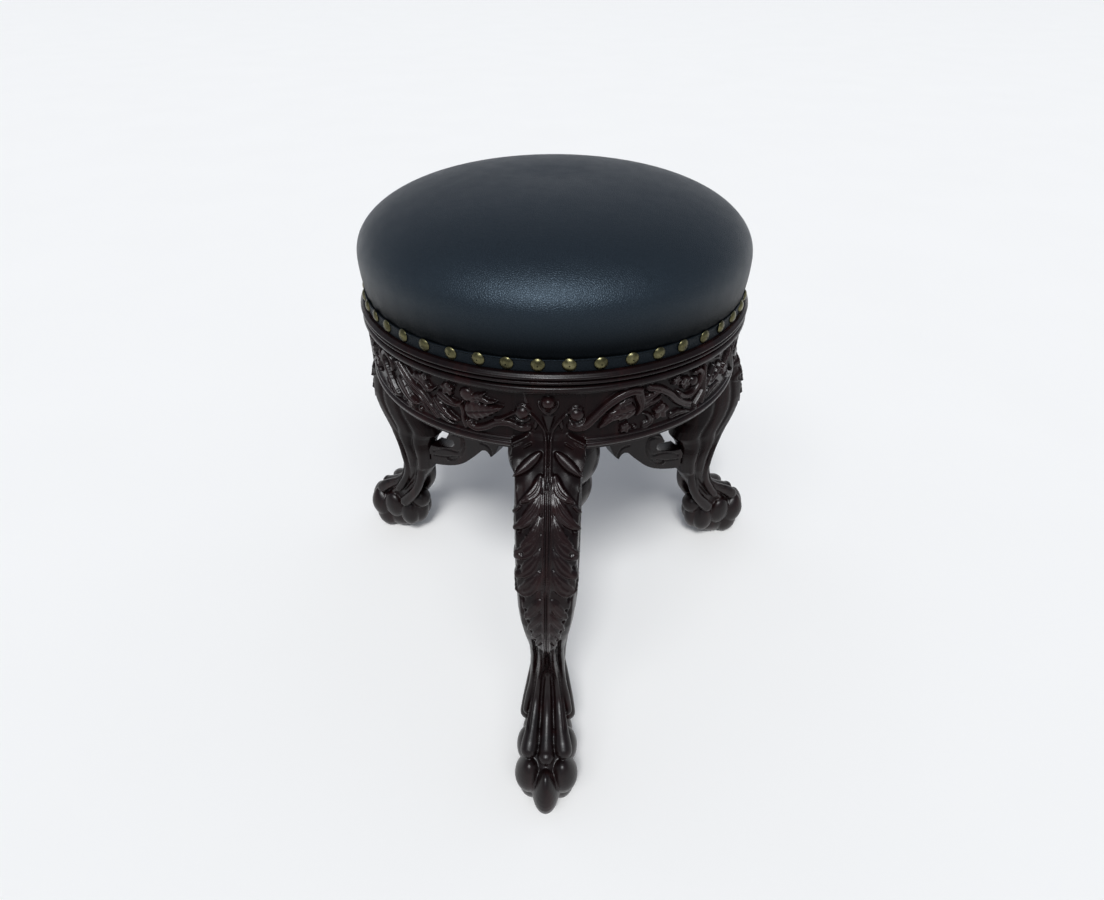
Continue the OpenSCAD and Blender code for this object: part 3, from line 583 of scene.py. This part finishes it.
def foot_parts():
    """Toes, knuckles and the lobes under them, in (out, across, up), in metres."""
    parts = []

    def toe(points, radii, side=1):
        parts.append(sweep(np.array(points) * (MM, side * MM, MM), np.array(radii) * MM))

    def lobe(centre, half, side=1, tilt=0, egg=0):
        parts.append(ellipsoid(np.array(centre) * (MM, side * MM, MM), np.array(half) * MM, tilt, egg))

    toe([(226, 0, 136), (229, 0, 127), (231, 0, 120), (234, 0, 111), (239, 0, 101), (251, 0, 87.5),
         (265, 0, 77.5), (278, 0, 69), (281.5, 0, 67.5)], [1.2, 2.8, 3.8, 4.7, 5, 5.6, 6.4, 7.8, 8.2])
    for side in (-1, 1):
        toe([(250, 5, 188), (248, 5.3, 180), (241, 5.6, 160), (235.5, 6.6, 142), (231.5, 8.4, 124),
             (236, 10.5, 103), (247, 12.2, 91), (260, 14, 82), (271, 15.8, 74.5), (276, 16.6, 70)],
            [1, 2.6, 3.1, 3.5, 4.3, 5, 5.6, 6.6, 8, 8.4], side)
        toe([(249, 11.6, 199), (241, 12, 178), (233.5, 12.2, 160), (228.5, 12.4, 142), (225.5, 12.3, 124),
             (228, 13.6, 108), (234, 16.5, 95), (241, 19.2, 84)],
            [1.2, 2.8, 3.5, 4.2, 4.8, 5.2, 5.6, 5.2], side)
        toe([(203, 10, 130), (206, 13, 108), (213, 16, 90), (223, 18.5, 76), (231, 20, 66)],
            [5, 5.6, 6.4, 7.4, 8], side)
        lobe((281, 15.9, 40), (18, 15, 24.5), side, tilt=0.22, egg=0.26)
        lobe((256, 19, 48), (16, 11.2, 21), side, egg=0.08)
        lobe((276, 14, 22), (18, 14, 22), side)
        lobe((234, 13, 40), (15, 12.5, 22), side)
    lobe((291, 0, 32), (24.5, 13.8, 29), tilt=0.2, egg=0.38)
    lobe((264, 0, 24), (34, 23, 24))
    lobe((222, 0, 62), (14, 14, 15))
    lobe((236, 0, 40), (22, 17, 27))
    lobe((250, 0, 64), (26, 16, 17), tilt=-0.5)
    return parts


def side_share(r, z):
    """How far forwards a point of the leg lies, from 0 at its back to 1 at its face, at its own height."""
    tallest = 420
    level = np.clip((z / MM).astype(int), 0, tallest)
    high, low = np.full(tallest + 1, -1.0), np.full(tallest + 1, 1.0)
    np.maximum.at(high, level, r)
    np.minimum.at(low, level, r)
    return (r - low[level]) / np.maximum(high[level] - low[level], 1e-4)


def shrink_foot(co):
    """The CAD leg's points, with its foot drawn in to be the core of the modelled one."""
    r, t, z = co.T
    sole = 60 * MM
    middle = np.interp(z, [0, sole, 125 * MM], [268 * MM, 258 * MM, 218 * MM])
    k = 1 - 0.34 * fade(140, 95, z)
    return np.stack([middle + (r - middle) * k, t * k, np.where(z < sole, sole - (sole - z) * 0.85, z)], -1)


# the knee's face, in millimetres: heights, and how far out it stands at each
KNEE_Z = [340, 346, 352, 358, 364, 370, 376, 382]
KNEE_R = [207.4, 202, 196.8, 192, 187.4, 183.5, 180.6, 179.2]
# heights in millimetres between which the parts of a leg's carving come in, and go out
BLOCK_IN, KNEE_IN, LEAF_IN, LEAF_OUT = (366, 376), (338, 352), (74, 82), (378, 372)
GROOVES_IN, GROOVES_OUT, FOOT_OUT = (120, 160), (352, 335), (170, 150)
SIDE_GROOVES = (0.38, 0.70)      # where the hollows down a leg's sides lie, from its back to its face
GROOVE_DEPTH, GROOVE_SPREAD = 1.6 * MM, 0.045


def make_leg_mesh():
    """The sculpted leg, in its own plane: the CAD leg, with a modelled foot and carved face."""
    co, tris = cad_solid("leg_front")
    obj = mesh_object("leg_form", *join([(shrink_foot(co), tris)] + foot_parts()))
    remesh(obj, LEG_VOXEL)
    no = normals(obj)
    nr, nt, _ = no.T
    r, t, z = coords(obj).T
    off = np.abs(t)
    # the block's face lies on the frieze's ground, and its ornament stands on that
    block = fade(*BLOCK_IN, z) * smoothstep(POST_R - 4 * MM, POST_R - 1.2 * MM, np.hypot(r, t))
    block *= smoothstep(0.3, 0.7, nr)
    relief = FRIEZE.sample(GROUND_R * np.arctan2(t, r), z)
    ground = GROUND_R + relief - LAP_SINK * smoothstep(LAP_AT, LAP_AT + 1.5 * MM, off)
    r_out = r + block * (np.sqrt(np.maximum(ground ** 2 - t ** 2, 0)) - r)
    # the knee stands forward under an edge that rises from the corners to the middle
    knee_top = (368.5 + 6 * fade(30, 14, off)) * MM
    spread = (0.8 + 5.5 * fade(20, 13, off)) * MM
    knee = smoothstep(-spread, spread, knee_top - z) * fade(*KNEE_IN, z)
    knee *= smoothstep(0.1, 0.5, nr) * fade(174, 178, r)
    r_out += knee * np.maximum(np.interp(z / MM, KNEE_Z, KNEE_R) * MM - r_out, 0)
    block *= 1 - knee
    # the acanthus, over the face and round its edges
    face = smoothstep(0, 0.5, nr) * (1 - block) * fade(*LEAF_OUT, z) * fade(165, 182, r) * fade(*LEAF_IN, z)
    leaf = face * LEAF.sample(t, z)
    # long hollows down the sides
    side = smoothstep(0.45, 0.8, np.abs(nt)) * fade(*GROOVES_OUT, z) * fade(*GROOVES_IN, z)
    share = side_share(r, z)
    hollows = sum(np.exp(-((share - place) / GROOVE_SPREAD) ** 2) for place in SIDE_GROOVES)
    groove = side * GROOVE_DEPTH * hollows
    out = np.stack([r_out, t, z], -1) + no * (leaf - groove)[:, None]
    out[:, 2] = np.maximum(out[:, 2], 0)
    set_coords(obj, out)
    # the feet count as raised, which keeps their polish and keeps the painted hollow shade off them
    set_field(obj, "relief", (block * relief + leaf - groove) / MM + 2 * fade(*FOOT_OUT, z))
    return obj


def place_in_plane(source, name, angle):
    """A copy of a form made in a leg's plane, set round the axis with its place in its mesh."""
    obj = add_object(name, source.data.copy())
    obj.data.name = name
    set_coords(obj, turned(*coords(source).T, radians(angle)))
    return obj


# Arms
def carve_arm():
    """Bands that follow the scroll, on an arm's side, as hollows below its face."""
    a = Relief(60, 200, 130, 250, ARM_STEP)
    for path in ([(178, 159), (161, 162.5), (146.6, 168.5), (135.5, 172.3), (130.4, 178), (126.5, 187),
                  (125.4, 198.1)],
                 [(176, 166.5), (161.3, 175.3), (147.1, 178.6), (136.3, 179.9), (129.4, 187.6),
                  (126.9, 197.6), (127.7, 204.9), (133.4, 206.7), (141.2, 204.3), (147.7, 199.9),
                  (152, 195.5)],
                 [(135.7, 170.7), (142.4, 165.2), (150.5, 161.6), (154.4, 161.9)],
                 [(99.8, 205.7), (92.6, 205.9), (87.1, 203.3), (84.6, 198.1), (84.2, 193.8)],
                 [(66, 229), (84, 228), (104, 223), (122, 214), (134, 206)]):
        a.groove(path, 2.2, 1.5)
    a.boss(154.9, 160.9, 2.6, 1.8)
    a.pit(148, 188, 1.8, 1.6)
    return a


def make_arm_mesh():
    """The scrolled arm: the CAD arm with rounded edges and carved bands."""
    obj = mesh_object("arm_form", *cad_solid("arm_front"))
    remesh(obj, ARM_VOXEL)
    co, no = coords(obj), normals(obj)
    bands = carve_arm().sample(co[:, 0], co[:, 2])
    side = smoothstep(0.5, 0.9, np.abs(no[:, 1]))
    co[:, 1] += np.sign(no[:, 1]) * side * bands
    set_coords(obj, co)
    return obj


# Seat
def smooth_noise(seed, count, waves):
    """A periodic wave round the seat, made of a few sines."""
    rng = np.random.default_rng(seed)
    a = turns(count)
    out = np.zeros(count)
    for n in waves:
        out += rng.normal() * np.sin(n * a + rng.uniform(0, 2 * pi)) / sqrt(n)
    return out / len(waves) ** 0.5


NAILS = 46
NAIL_R = 5.7 * MM
NAIL_Z = STRIP_LOW + 6.6 * MM
SETTLING_FRAMES = 20      # how long the cover takes to settle
BULGE = 2.4 * MM          # the furthest that its filling moves it
INSET = 1.6 * MM          # the cushion's form starts this far inside the CAD model's
BELLY_Z = STRIP_TOP + 31.3 * MM


def inflate(obj, pinned):
    """Lets the cover take the shape that its filling gives it, no point moving further than BULGE."""
    start = coords(obj)
    group = obj.vertex_groups.new(name="pinned")
    group.add(np.nonzero(pinned)[0].tolist(), 1, "REPLACE")
    mod = obj.modifiers.new("cover", "CLOTH")
    assign(mod.settings, quality=6, mass=0.3, tension_stiffness=10, compression_stiffness=10,
           shear_stiffness=8, bending_stiffness=3, use_pressure=True, uniform_pressure_force=4,
           vertex_group_mass="pinned")
    mod.settings.effector_weights.gravity = 0
    mod.collision_settings.use_collision = False
    for step in range(1, SETTLING_FRAMES + 1):
        bpy.context.scene.frame_set(step)
    apply_modifiers(obj)
    bpy.context.scene.frame_set(1)
    move = coords(obj) - start
    length = np.linalg.norm(move, axis=1)
    set_coords(obj, start + move * np.minimum(1, BULGE / np.maximum(length, 1e-9))[:, None])


def cushion_profile():
    """The cushion's radii and heights, from behind the strip, up its side and over its crown."""
    belly_r, rise = CUSHION_R - INSET, CUSHION_TOP - INSET - BELLY_Z
    side_z = STRIP_TOP - 1.5 * MM
    k = np.linspace(0, 1, 11)[:-1]
    t = np.linspace(pi / 2, 0.02, 40)
    r = [[STRIP_R - 3 * MM, STRIP_R - 2 * MM], belly_r * (1 - 0.016 * (1 - k) ** 2 - 0.006 * np.exp(-k * 9)),
         belly_r * np.sin(t)]
    z = [[STRIP_LOW + 2 * MM, STRIP_TOP - 5 * MM], side_z + k * (BELLY_Z - side_z),
         BELLY_Z + rise * np.sqrt(1 - np.sin(t) ** 2.8)]
    return np.concatenate(r), np.concatenate(z)


def pull_in(obj):
    """Adds pulls that run up from the nailed edge, and a slow unevenness of the filling."""
    x, y, z = coords(obj).T
    angle, out = np.arctan2(y - AXIS_Y, x), np.hypot(x, y - AXIS_Y)
    ring = turns(1440)

    def pick(values):
        return np.interp(angle, ring, values, period=2 * pi)

    pulls = pick(smooth_noise(5, len(ring), range(22, 150, 9)) * 0.8 + 0.35 * np.cos(NAILS * ring))
    swell = pick(smooth_noise(8, len(ring), (2, 3, 5, 7)) * 0.6)
    reach = pick((9 + 4 * smooth_noise(21, len(ring), (7, 13, 29))) * MM)
    up = np.maximum(z - STRIP_TOP, 0)
    shift = MM * (pulls * np.exp(-up / reach) + swell * smoothstep(CUSHION_TOP, BELLY_Z, z))
    shift = np.minimum(shift, 0.5 * MM) * smoothstep(0.4, 0.9, out / CUSHION_R)
    set_coords(obj, np.stack([x + shift * np.cos(angle), y + shift * np.sin(angle), z], -1))


def make_cushion():
    """The padded leather seat: crowned, with sides that swell and small pulls at the lower edge."""
    cols = 180
    r, z = cushion_profile()
    co = turned(r[:, None], 0, z[:, None], turns(cols))
    edge = np.arange(cols)
    crown, bottom = fan(edge + len(co) - cols, len(co)), fan(edge, len(co) + 1, flip=True)
    co = np.vstack([co, [[0, AXIS_Y, CUSHION_TOP - INSET], [0, AXIS_Y, z[0]]]])
    obj = mesh_object("leather_cushion", co, grid_faces(len(r), cols), crown, bottom)
    inflate(obj, co[:, 2] < STRIP_TOP + 0.5 * MM)
    assign(obj.modifiers.new("fine", "SUBSURF"), levels=2, use_limit_surface=False)
    apply_modifiers(obj)
    pull_in(obj)
    return obj


def make_strip():
    """The nailed strip of leather, with a turned edge that waves between the nails."""
    cols = 920
    a = turns(cols)
    wave = smooth_noise(11, cols, (9, 17, 23, 31, 46)) * 0.45 * MM
    top = STRIP_TOP - 0.3 * MM + np.clip(wave, -0.9 * MM, 0.5 * MM)
    dent = np.cos(NAILS * a) * 0.18 * MM
    # steps out from the strip's radius and up from its lower edge, in millimetres
    profile = [(-2.2, 0), (-0.6, 0), (-0.1, 0.35), (0.05, 0.9), (0, 3), (-0.05, 6), (0, 9), (0.15, 10.4),
               (0.5, 11), (0.55, 11.5), (0.25, 12), (-0.5, 12.1), (-1.6, 11.7), (-2.2, 11.5)]
    dr, dz = spline(profile, 3).T[:, :, None]
    share = dz / 12.1
    r = STRIP_R - 0.5 * MM + dr * MM - dent * np.sin(pi * np.minimum(share, 1))
    z = STRIP_LOW + (top - STRIP_LOW) * share
    return mesh_object("leather_strip", turned(r, 0, z, a), grid_faces(len(r), cols, wrap_rows=True))


# The rim's face: steps in from its radius, and up, where 9 is its whole height to the strip
RIM_FACE = [(-7, 0), (-2.4, 0.02), (-1.3, 0.45), (-0.9, 1.4), (-1.3, 2.35), (-2.5, 2.9), (-3, 3.5),
            (-2.3, 4.1), (-0.8, 4.6), (-0.15, 5.3), (-0.05, 6.1), (-0.5, 6.9), (-1.5, 7.85), (-2.4, 8.7),
            (-3.1, 9), (-4.4, 9)]
# the gap round the seat board, the ledge under it, and how far behind the strip's face the rim begins
BOARD_GAP, LEDGE, BEHIND_STRIP = 0.2 * MM, 11.8 * MM, 3.4 * MM


def make_rim():
    """The turned rim, its mouldings a little softer than the CAD model's, round the same rabbet."""
    board_r, board_low, board_top = measure(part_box("seat_board"))
    gap_r = board_r + BOARD_GAP
    ledge_r = gap_r - LEDGE
    band_r = STRIP_R - BEHIND_STRIP
    scale = (STRIP_LOW - RIM_LOW) / RIM_FACE[-1][1]
    outer = [(RIM_R + dr * MM, RIM_LOW + dz * scale) for dr, dz in spline(RIM_FACE, 5)]
    square = [(band_r, STRIP_LOW), (band_r, board_top), (gap_r, board_top), (gap_r, board_low),
              (ledge_r, board_low), (ledge_r, RIM_LOW)]
    # each inner corner is cut off by a little
    inner = []
    for before, corner, after in zip([outer[-1]] + square, square, square[1:] + [outer[0]]):
        for other in (before, after):
            step = np.subtract(other, corner)
            inner.append(np.add(corner, step * 0.4 * MM / np.hypot(*step)))
    r, z = np.array(outer + inner).T[:, :, None]
    a = turns(720)
    return mesh_object("seat_rim_turned", turned(r, 0, z, a), grid_faces(len(r), len(a), wrap_rows=True))


# A nail: its radius as a share of the head's, and how far it stands out, in millimetres
NAIL_PROFILE = [(0, 2.7), (0.16, 2.66), (0.34, 2.5), (0.52, 2.2), (0.70, 1.72), (0.85, 1.15), (0.95, 0.6),
                (1, 0.3), (1, 0.05), (0.9, -0.2), (0.16, -0.3), (0.14, -3)]


def make_nails():
    """Domed nails with a thin brim, each a little out of true."""
    rng = np.random.default_rng(3)
    b = turns(28)
    k, h = np.array(NAIL_PROFILE).T[:, :, None]
    across, up = NAIL_R * k * np.cos(b), NAIL_R * k * np.sin(b)
    faces = grid_faces(len(k), len(b))
    parts = []
    for i in range(NAILS):
        a = 2 * pi * (i + 0.18) / NAILS + rng.normal() * 0.004
        z = NAIL_Z + rng.normal() * 0.25 * MM
        tilt_u, tilt_v = rng.normal(size=2) * 0.05
        out = h * MM + across * tilt_u + up * tilt_v
        parts.append((turned(STRIP_R - 0.35 * MM + out, across, z + up, a), faces))
    return mesh_object("brass_nails", *join(parts))


# Screw
LEAD = 8 * MM
THREAD_DEPTH = 2 * MM
PLAIN_TOP, PLAIN_FOOT = 22 * MM, 5 * MM      # lengths without a thread, in the flange and at the foot


def make_screw():
    """The threaded spindle: one continuous square-shouldered thread."""
    crest, low, top = measure(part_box("screw_spindle"))
    sides = 48
    rows = int((top - low) / (LEAD / 16)) + 1
    zz, aa = np.meshgrid(np.linspace(low, top, rows), turns(sides), indexing="ij")
    phase = np.mod(zz / LEAD - aa / (2 * pi), 1)
    tooth = smoothstep(0.10, 0.22, phase) * (1 - smoothstep(0.60, 0.72, phase))
    tooth = np.where((zz > top - PLAIN_TOP) | (zz < low + PLAIN_FOOT), 1, tooth)
    root = crest - THREAD_DEPTH
    co = turned(root + (crest - root) * tooth, 0, zz, aa)
    n = len(co)
    edge = np.arange(sides)
    ends = fan(edge, n, flip=True), fan(edge + n - sides, n + 1)
    co = np.vstack([co, [[0, AXIS_Y, low], [0, AXIS_Y, top]]])
    return mesh_object("threaded_spindle", co, triangles(grid_faces(rows, sides)), *ends)


# Materials
class Nodes:
    """Short names for building the nodes of a material or of the world."""

    def __init__(self, owner, coord="Object"):
        owner.use_nodes = True
        self.owner = owner
        self.tree = owner.node_tree
        self.coord = self.add("TexCoord", coord)

    def put(self, socket, value):
        """Sets a socket to a number or a colour, or links another node's output to it."""
        if isinstance(value, bpy.types.NodeSocket):
            self.tree.links.new(value, socket)
        else:
            socket.default_value = (*value, 1) if socket.type == "RGBA" else value

    def add(self, kind, output, inputs=None, **settings):
        """Adds a node with its settings and what goes into its sockets, and gives one of its outputs."""
        node = assign(self.tree.nodes.new("ShaderNode" + kind), **settings)
        for name, value in (inputs or {}).items():
            self.put(node.inputs[name], value)
        return node.outputs[output]

    def noise(self, scale, detail=4, roughness=0.5, distortion=0, vector=None):
        return self.add("TexNoise", "Fac", {"Vector": vector or self.coord, "Scale": scale, "Detail": detail,
                                            "Roughness": roughness, "Distortion": distortion})

    def cells(self, scale):
        """Distance to the nearest edge between cells."""
        return self.add("TexVoronoi", "Distance", {"Vector": self.coord, "Scale": scale},
                        feature="DISTANCE_TO_EDGE")

    def stretched(self, *scale):
        return self.add("Mapping", "Vector", {"Vector": self.coord, "Scale": scale})

    def ramp(self, value, *stops):
        """A ramp of (place, colour) stops, where a colour may be one grey value."""
        output = self.add("ValToRGB", "Color", {"Fac": value})
        elements = output.node.color_ramp.elements
        while len(elements) < len(stops):
            elements.new(0.5)
        for element, (place, colour) in zip(elements, stops):
            element.position = place
            element.color = (*colour, 1) if isinstance(colour, tuple) else (colour, colour, colour, 1)
        return output

    def math(self, operation, a, b, clamp):
        return self.add("Math", 0, {0: a, 1: b}, operation=operation, use_clamp=clamp)

    def plus(self, a, b):
        return self.math("ADD", a, b, False)

    def minus(self, a, b):
        return self.math("SUBTRACT", a, b, False)

    def times(self, a, b, clamp=False):
        return self.math("MULTIPLY", a, b, clamp)

    def mix(self, fac, a, b):
        return self.add("Mix", 2, {0: fac, 6: a, 7: b}, data_type="RGBA")

    def height(self):
        """The Z of the shaded point's coordinate."""
        return self.add("SeparateXYZ", "Z", {0: self.coord})

    def field(self, name):
        return self.add("Attribute", "Fac", attribute_name=name)

    def bump(self, height, distance, strength, below=None):
        inputs = {"Strength": strength, "Distance": distance, "Height": height}
        if below:
            inputs["Normal"] = below
        return self.add("Bump", "Normal", inputs)

    def finish(self, shader="Principled BSDF", **sockets):
        """Sets or links the shader's sockets, whose names have underscores for spaces."""
        for name, value in sockets.items():
            self.put(self.tree.nodes[shader].inputs[name.replace("_", " ")], value)
        return self.owner


def material(name):
    return Nodes(bpy.data.materials.new(name))


def rosewood(name, carved):
    """Dark red-brown polished wood; where carved, painted shade darkens its hollows, and its crests are
    tinted a lighter red, partly wear and partly painted highlight.
    """
    n = material(name)
    grain = n.noise(60, 6, 0.6, 0.6, n.stretched(1, 1, 0.12))
    pores = n.noise(420, 3, 0.7, 0, n.stretched(1, 1, 0.08))
    base = n.ramp(grain, (0.30, (0.0024, 0.0014, 0.0016)), (0.55, (0.0062, 0.0024, 0.0025)),
                  (0.78, (0.020, 0.0054, 0.0052)))
    base = n.mix(n.times(n.noise(9, 3), 0.5), base, (0.0070, 0.0032, 0.0035))
    rough = n.ramp(n.noise(35, 4), (0.3, 0.22), (0.75, 0.30))
    polish = 0.18
    if carved:
        # the ground, which no cloth reaches, takes less polish than what stands on it
        relief = n.field("relief")
        polish = n.ramp(n.times(relief, 0.2), (0.10, 0.085), (0.42, 0.24))
        # painted highlight as well as wear: the carving's crests are tinted a lighter red
        crest = n.times(n.minus(relief, 2.2), 0.35, clamp=True)
        base = n.mix(n.times(crest, 0.45), base, (0.019, 0.0052, 0.0052))
        # painted shade: the carving's hollows and plain ground are darkened
        hollow = n.times(n.minus(0.8, relief), 0.6, clamp=True)
        base = n.mix(n.times(hollow, 0.35), base, (0.004, 0.0026, 0.0030))
        # the feet are worn to a softer and broader shine
        foot = n.ramp(n.height(), (95 * MM, 1), (135 * MM, 0))
        rough = n.plus(rough, n.times(foot, 0.08))
        polish = n.plus(polish, n.times(foot, 0.07))
    bumped = n.bump(n.plus(n.times(grain, 0.6), n.times(pores, 0.4)), 0.0003, 0.22)
    bumped = n.bump(n.noise(55, 3), 0.0010, 0.16, below=bumped)
    return n.finish(Base_Color=base, Roughness=rough, Normal=bumped, Specular_IOR_Level=polish)


def leather(name, cushion):
    """Blue-black pebbled leather; the strip's is a copy darkened with painted shade, with less sheen than the
    cushion's.
    """
    n = material(name)
    pebbles = n.ramp(n.cells(620), (0, 0), (0.22, 1))
    base = n.ramp(n.noise(7, 3), (0.3, (0.0062, 0.0094, 0.0128)), (0.7, (0.0078, 0.0116, 0.0160)))
    # painted shade: the creases between the pebbles are darkened
    base = n.mix(n.times(n.minus(1, pebbles), 0.5), base, (0.0035, 0.0045, 0.0055))
    rough = n.ramp(n.noise(60, 5, 0.6), (0.3, 0.38), (0.75, 0.45))
    height = n.plus(n.times(pebbles, 0.55), n.times(n.noise(1500, 2), 0.25))
    height = n.plus(height, n.times(n.noise(140, 5, 0.6, 0.4), 0.5))
    bumped = n.bump(height, 0.0006, 0.30 if cushion else 0.45)
    if cushion:
        # the side turns in towards the nailed edge, where painted shade darkens its colour and its sheen
        # drops
        lit = n.ramp(n.height(), (STRIP_TOP + 8 * MM, 0), (STRIP_TOP + 46 * MM, 1))
        base = n.mix(lit, (0.0020, 0.0026, 0.0032), base)
        sheen = n.plus(n.times(lit, 0.46), 0.03)
    else:
        # painted shade: the strip's colour is pulled most of the way to near black
        base = n.mix(0.65, base, (0.0018, 0.0020, 0.0022))
        sheen = 0.13
    # painted reflection colour: the leather's reflections are tinted blue
    return n.finish(Base_Color=base, Roughness=rough, Normal=bumped, Specular_IOR_Level=sheen,
                    Specular_Tint=(0.60, 0.80, 1))


def antique_brass(name):
    n = material(name)
    base = n.ramp(n.noise(150, 3), (0.30, (0.045, 0.042, 0.022)), (0.58, (0.13, 0.120, 0.060)),
                  (0.84, (0.26, 0.24, 0.14)))
    rough = n.ramp(n.noise(420, 3), (0.3, 0.24), (0.8, 0.42))
    bumped = n.bump(n.noise(500, 3), 0.0004, 0.35)
    return n.finish(Base_Color=base, Roughness=rough, Metallic=1, Normal=bumped)


def metal(name, dark, light, roughness, brushed):
    n = material(name)
    base = n.ramp(n.noise(500, 4, 0.6, 0, n.stretched(1, 1, brushed)), (0.3, dark), (0.75, light))
    rough = n.ramp(n.noise(90, 4), (0.3, roughness * 0.75), (0.75, roughness * 1.25))
    bumped = n.bump(n.noise(350, 4, 0.6), 0.0004, 0.3)
    return n.finish(Base_Color=base, Roughness=rough, Metallic=0.9, Normal=bumped)


def softwood(name):
    n = material(name)
    grain = n.noise(45, 5, 0.55, 1, n.stretched(0.12, 1, 1))
    base = n.ramp(grain, (0.35, (0.30, 0.17, 0.075)), (0.6, (0.42, 0.27, 0.13)), (0.8, (0.52, 0.36, 0.19)))
    return n.finish(Base_Color=base, Roughness=0.62, Normal=n.bump(grain, 0.0006, 0.3))


def sole_leather(name):
    n = material(name)
    base = n.ramp(n.noise(60, 5), (0.3, (0.07, 0.032, 0.015)), (0.75, (0.16, 0.08, 0.04)))
    return n.finish(Base_Color=base, Roughness=0.58, Normal=n.bump(n.cells(700), 0.0004, 0.4))


def dress(obj, finish):
    obj.data.materials.clear()
    obj.data.materials.append(finish)


# Assembly
CARVED = rosewood("carved_rosewood", True)
TURNED = rosewood("polished_rosewood", False)
CUSHION_LEATHER = leather("black_pebbled_leather", True)
STRIP_LEATHER = leather("black_strip_leather", False)
BRASS = antique_brass("antique_brass")
IRON = metal("dark_cast_iron", (0.018, 0.018, 0.019), (0.06, 0.058, 0.056), 0.55, 1)
STEEL = metal("oiled_steel", (0.20, 0.20, 0.20), (0.42, 0.41, 0.40), 0.32, 0.2)
PINE = softwood("plain_softwood")
SOLE = sole_leather("sole_leather")


def add_piece(obj, body, finish, slot, *nodes):
    """Dresses a piece, hangs it on the body it rides and hides the CAD nodes it stands for; SLOT is not used.
    """
    dress(obj, finish)
    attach(obj, body)
    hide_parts(*nodes)
    return obj


leg_form = make_leg_mesh()
arm_form = make_arm_mesh()
for node, angle in LEG_ANGLES.items():
    add_piece(place_in_plane(leg_form, node + "_carved", angle), "base", CARVED, "polished_wood", node)
    arm = node.replace("leg", "arm")
    add_piece(place_in_plane(arm_form, arm + "_carved", angle), "base", TURNED, "polished_wood", arm)
for form in (leg_form, arm_form):
    bpy.data.objects.remove(form)
for node, centre in (("apron_front_right", -30), ("apron_back", 90), ("apron_front_left", 210)):
    add_piece(make_apron(node + "_carved", centre), "base", CARVED, "polished_wood", node)

cushion = add_piece(make_cushion(), "seat", CUSHION_LEATHER, "leather", "seat_cover", "seat_padding")
add_piece(make_rim(), "seat", TURNED, "polished_wood", "seat_rim")
add_piece(make_strip(), "seat", STRIP_LEATHER, "leather", "nailed_strip")
add_piece(make_nails(), "seat", BRASS, "brass", "dome_nails")
add_piece(make_screw(), "seat", STEEL, "steel", "screw_spindle")

for finish, nodes in ((TURNED, ("top_board", "hub", "hub_drop")),
                      (IRON, ("screw_nut", "stop_collar", "seat_flange")),
                      (STEEL, ("nut_screws", "board_screws", "hub_screws", "flange_screws", "stop_pin")),
                      (PINE, ("glue_blocks", "apron_dowels", "seat_board")),
                      (SOLE, ("thrust_washer",))):
    for node in nodes:
        dress(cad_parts[node], finish)


# Camera, floor and light
lens = assign(bpy.data.cameras.new("camera"), sensor_width=36, lens=22.94)
camera = add_object("camera", lens, location=(0.0163, AXIS_Y - 0.6586, 0.7003),
                    rotation_euler=(radians(54.35), 0, radians(1.61)))
bpy.context.scene.camera = camera

world = bpy.data.worlds.new("studio")
bpy.context.scene.world = world
n = Nodes(world, "Generated")
sky = n.ramp(n.height(), (0, (0.62, 0.62, 0.62)), (0.05, (0.60, 0.60, 0.61)), (0.25, (0.36, 0.39, 0.44)),
             (1, (0.20, 0.22, 0.26)))
n.finish("Background", Color=sky)

FLOOR = 40
corners = [(x * FLOOR, y * FLOOR, -0.2 * MM) for x, y in ((-1, -1), (1, -1), (1, 1), (-1, 1))]
floor = mesh_object("studio_floor", corners, np.array([[0, 1, 2, 3]]))
n = material("pale_floor")
paper = n.ramp(n.noise(3, 2), (0.3, (0.955, 0.935, 0.905)), (0.7, (0.965, 0.945, 0.915)))
dress(floor, n.finish(Base_Color=paper, Roughness=0.9, Specular_IOR_Level=0))

# a wide soft lamp, far off and high on the camera's side, with a smaller and brighter one in its middle
toward = Vector((-0.05, -0.60, 0.79)).normalized()
DISTANCE = 200
lamps = bpy.data.lights
soft = assign(lamps.new("soft", "AREA"), shape="RECTANGLE", size=2 * DISTANCE * tan(radians(25)),
              size_y=2 * DISTANCE * tan(radians(8)), energy=1.15 * pi * DISTANCE ** 2)
bright = assign(lamps.new("bright", "SUN"), energy=1.75, angle=radians(14))
for lamp in (soft, bright):
    lamp.color = (0.96, 0.98, 1)
    add_object(lamp.name, lamp, location=Vector((0, AXIS_Y, 0.3)) + toward * DISTANCE,
               rotation_euler=toward.to_track_quat("Z", "Y").to_euler())

bpy.context.scene.view_settings.view_transform = "Standard"
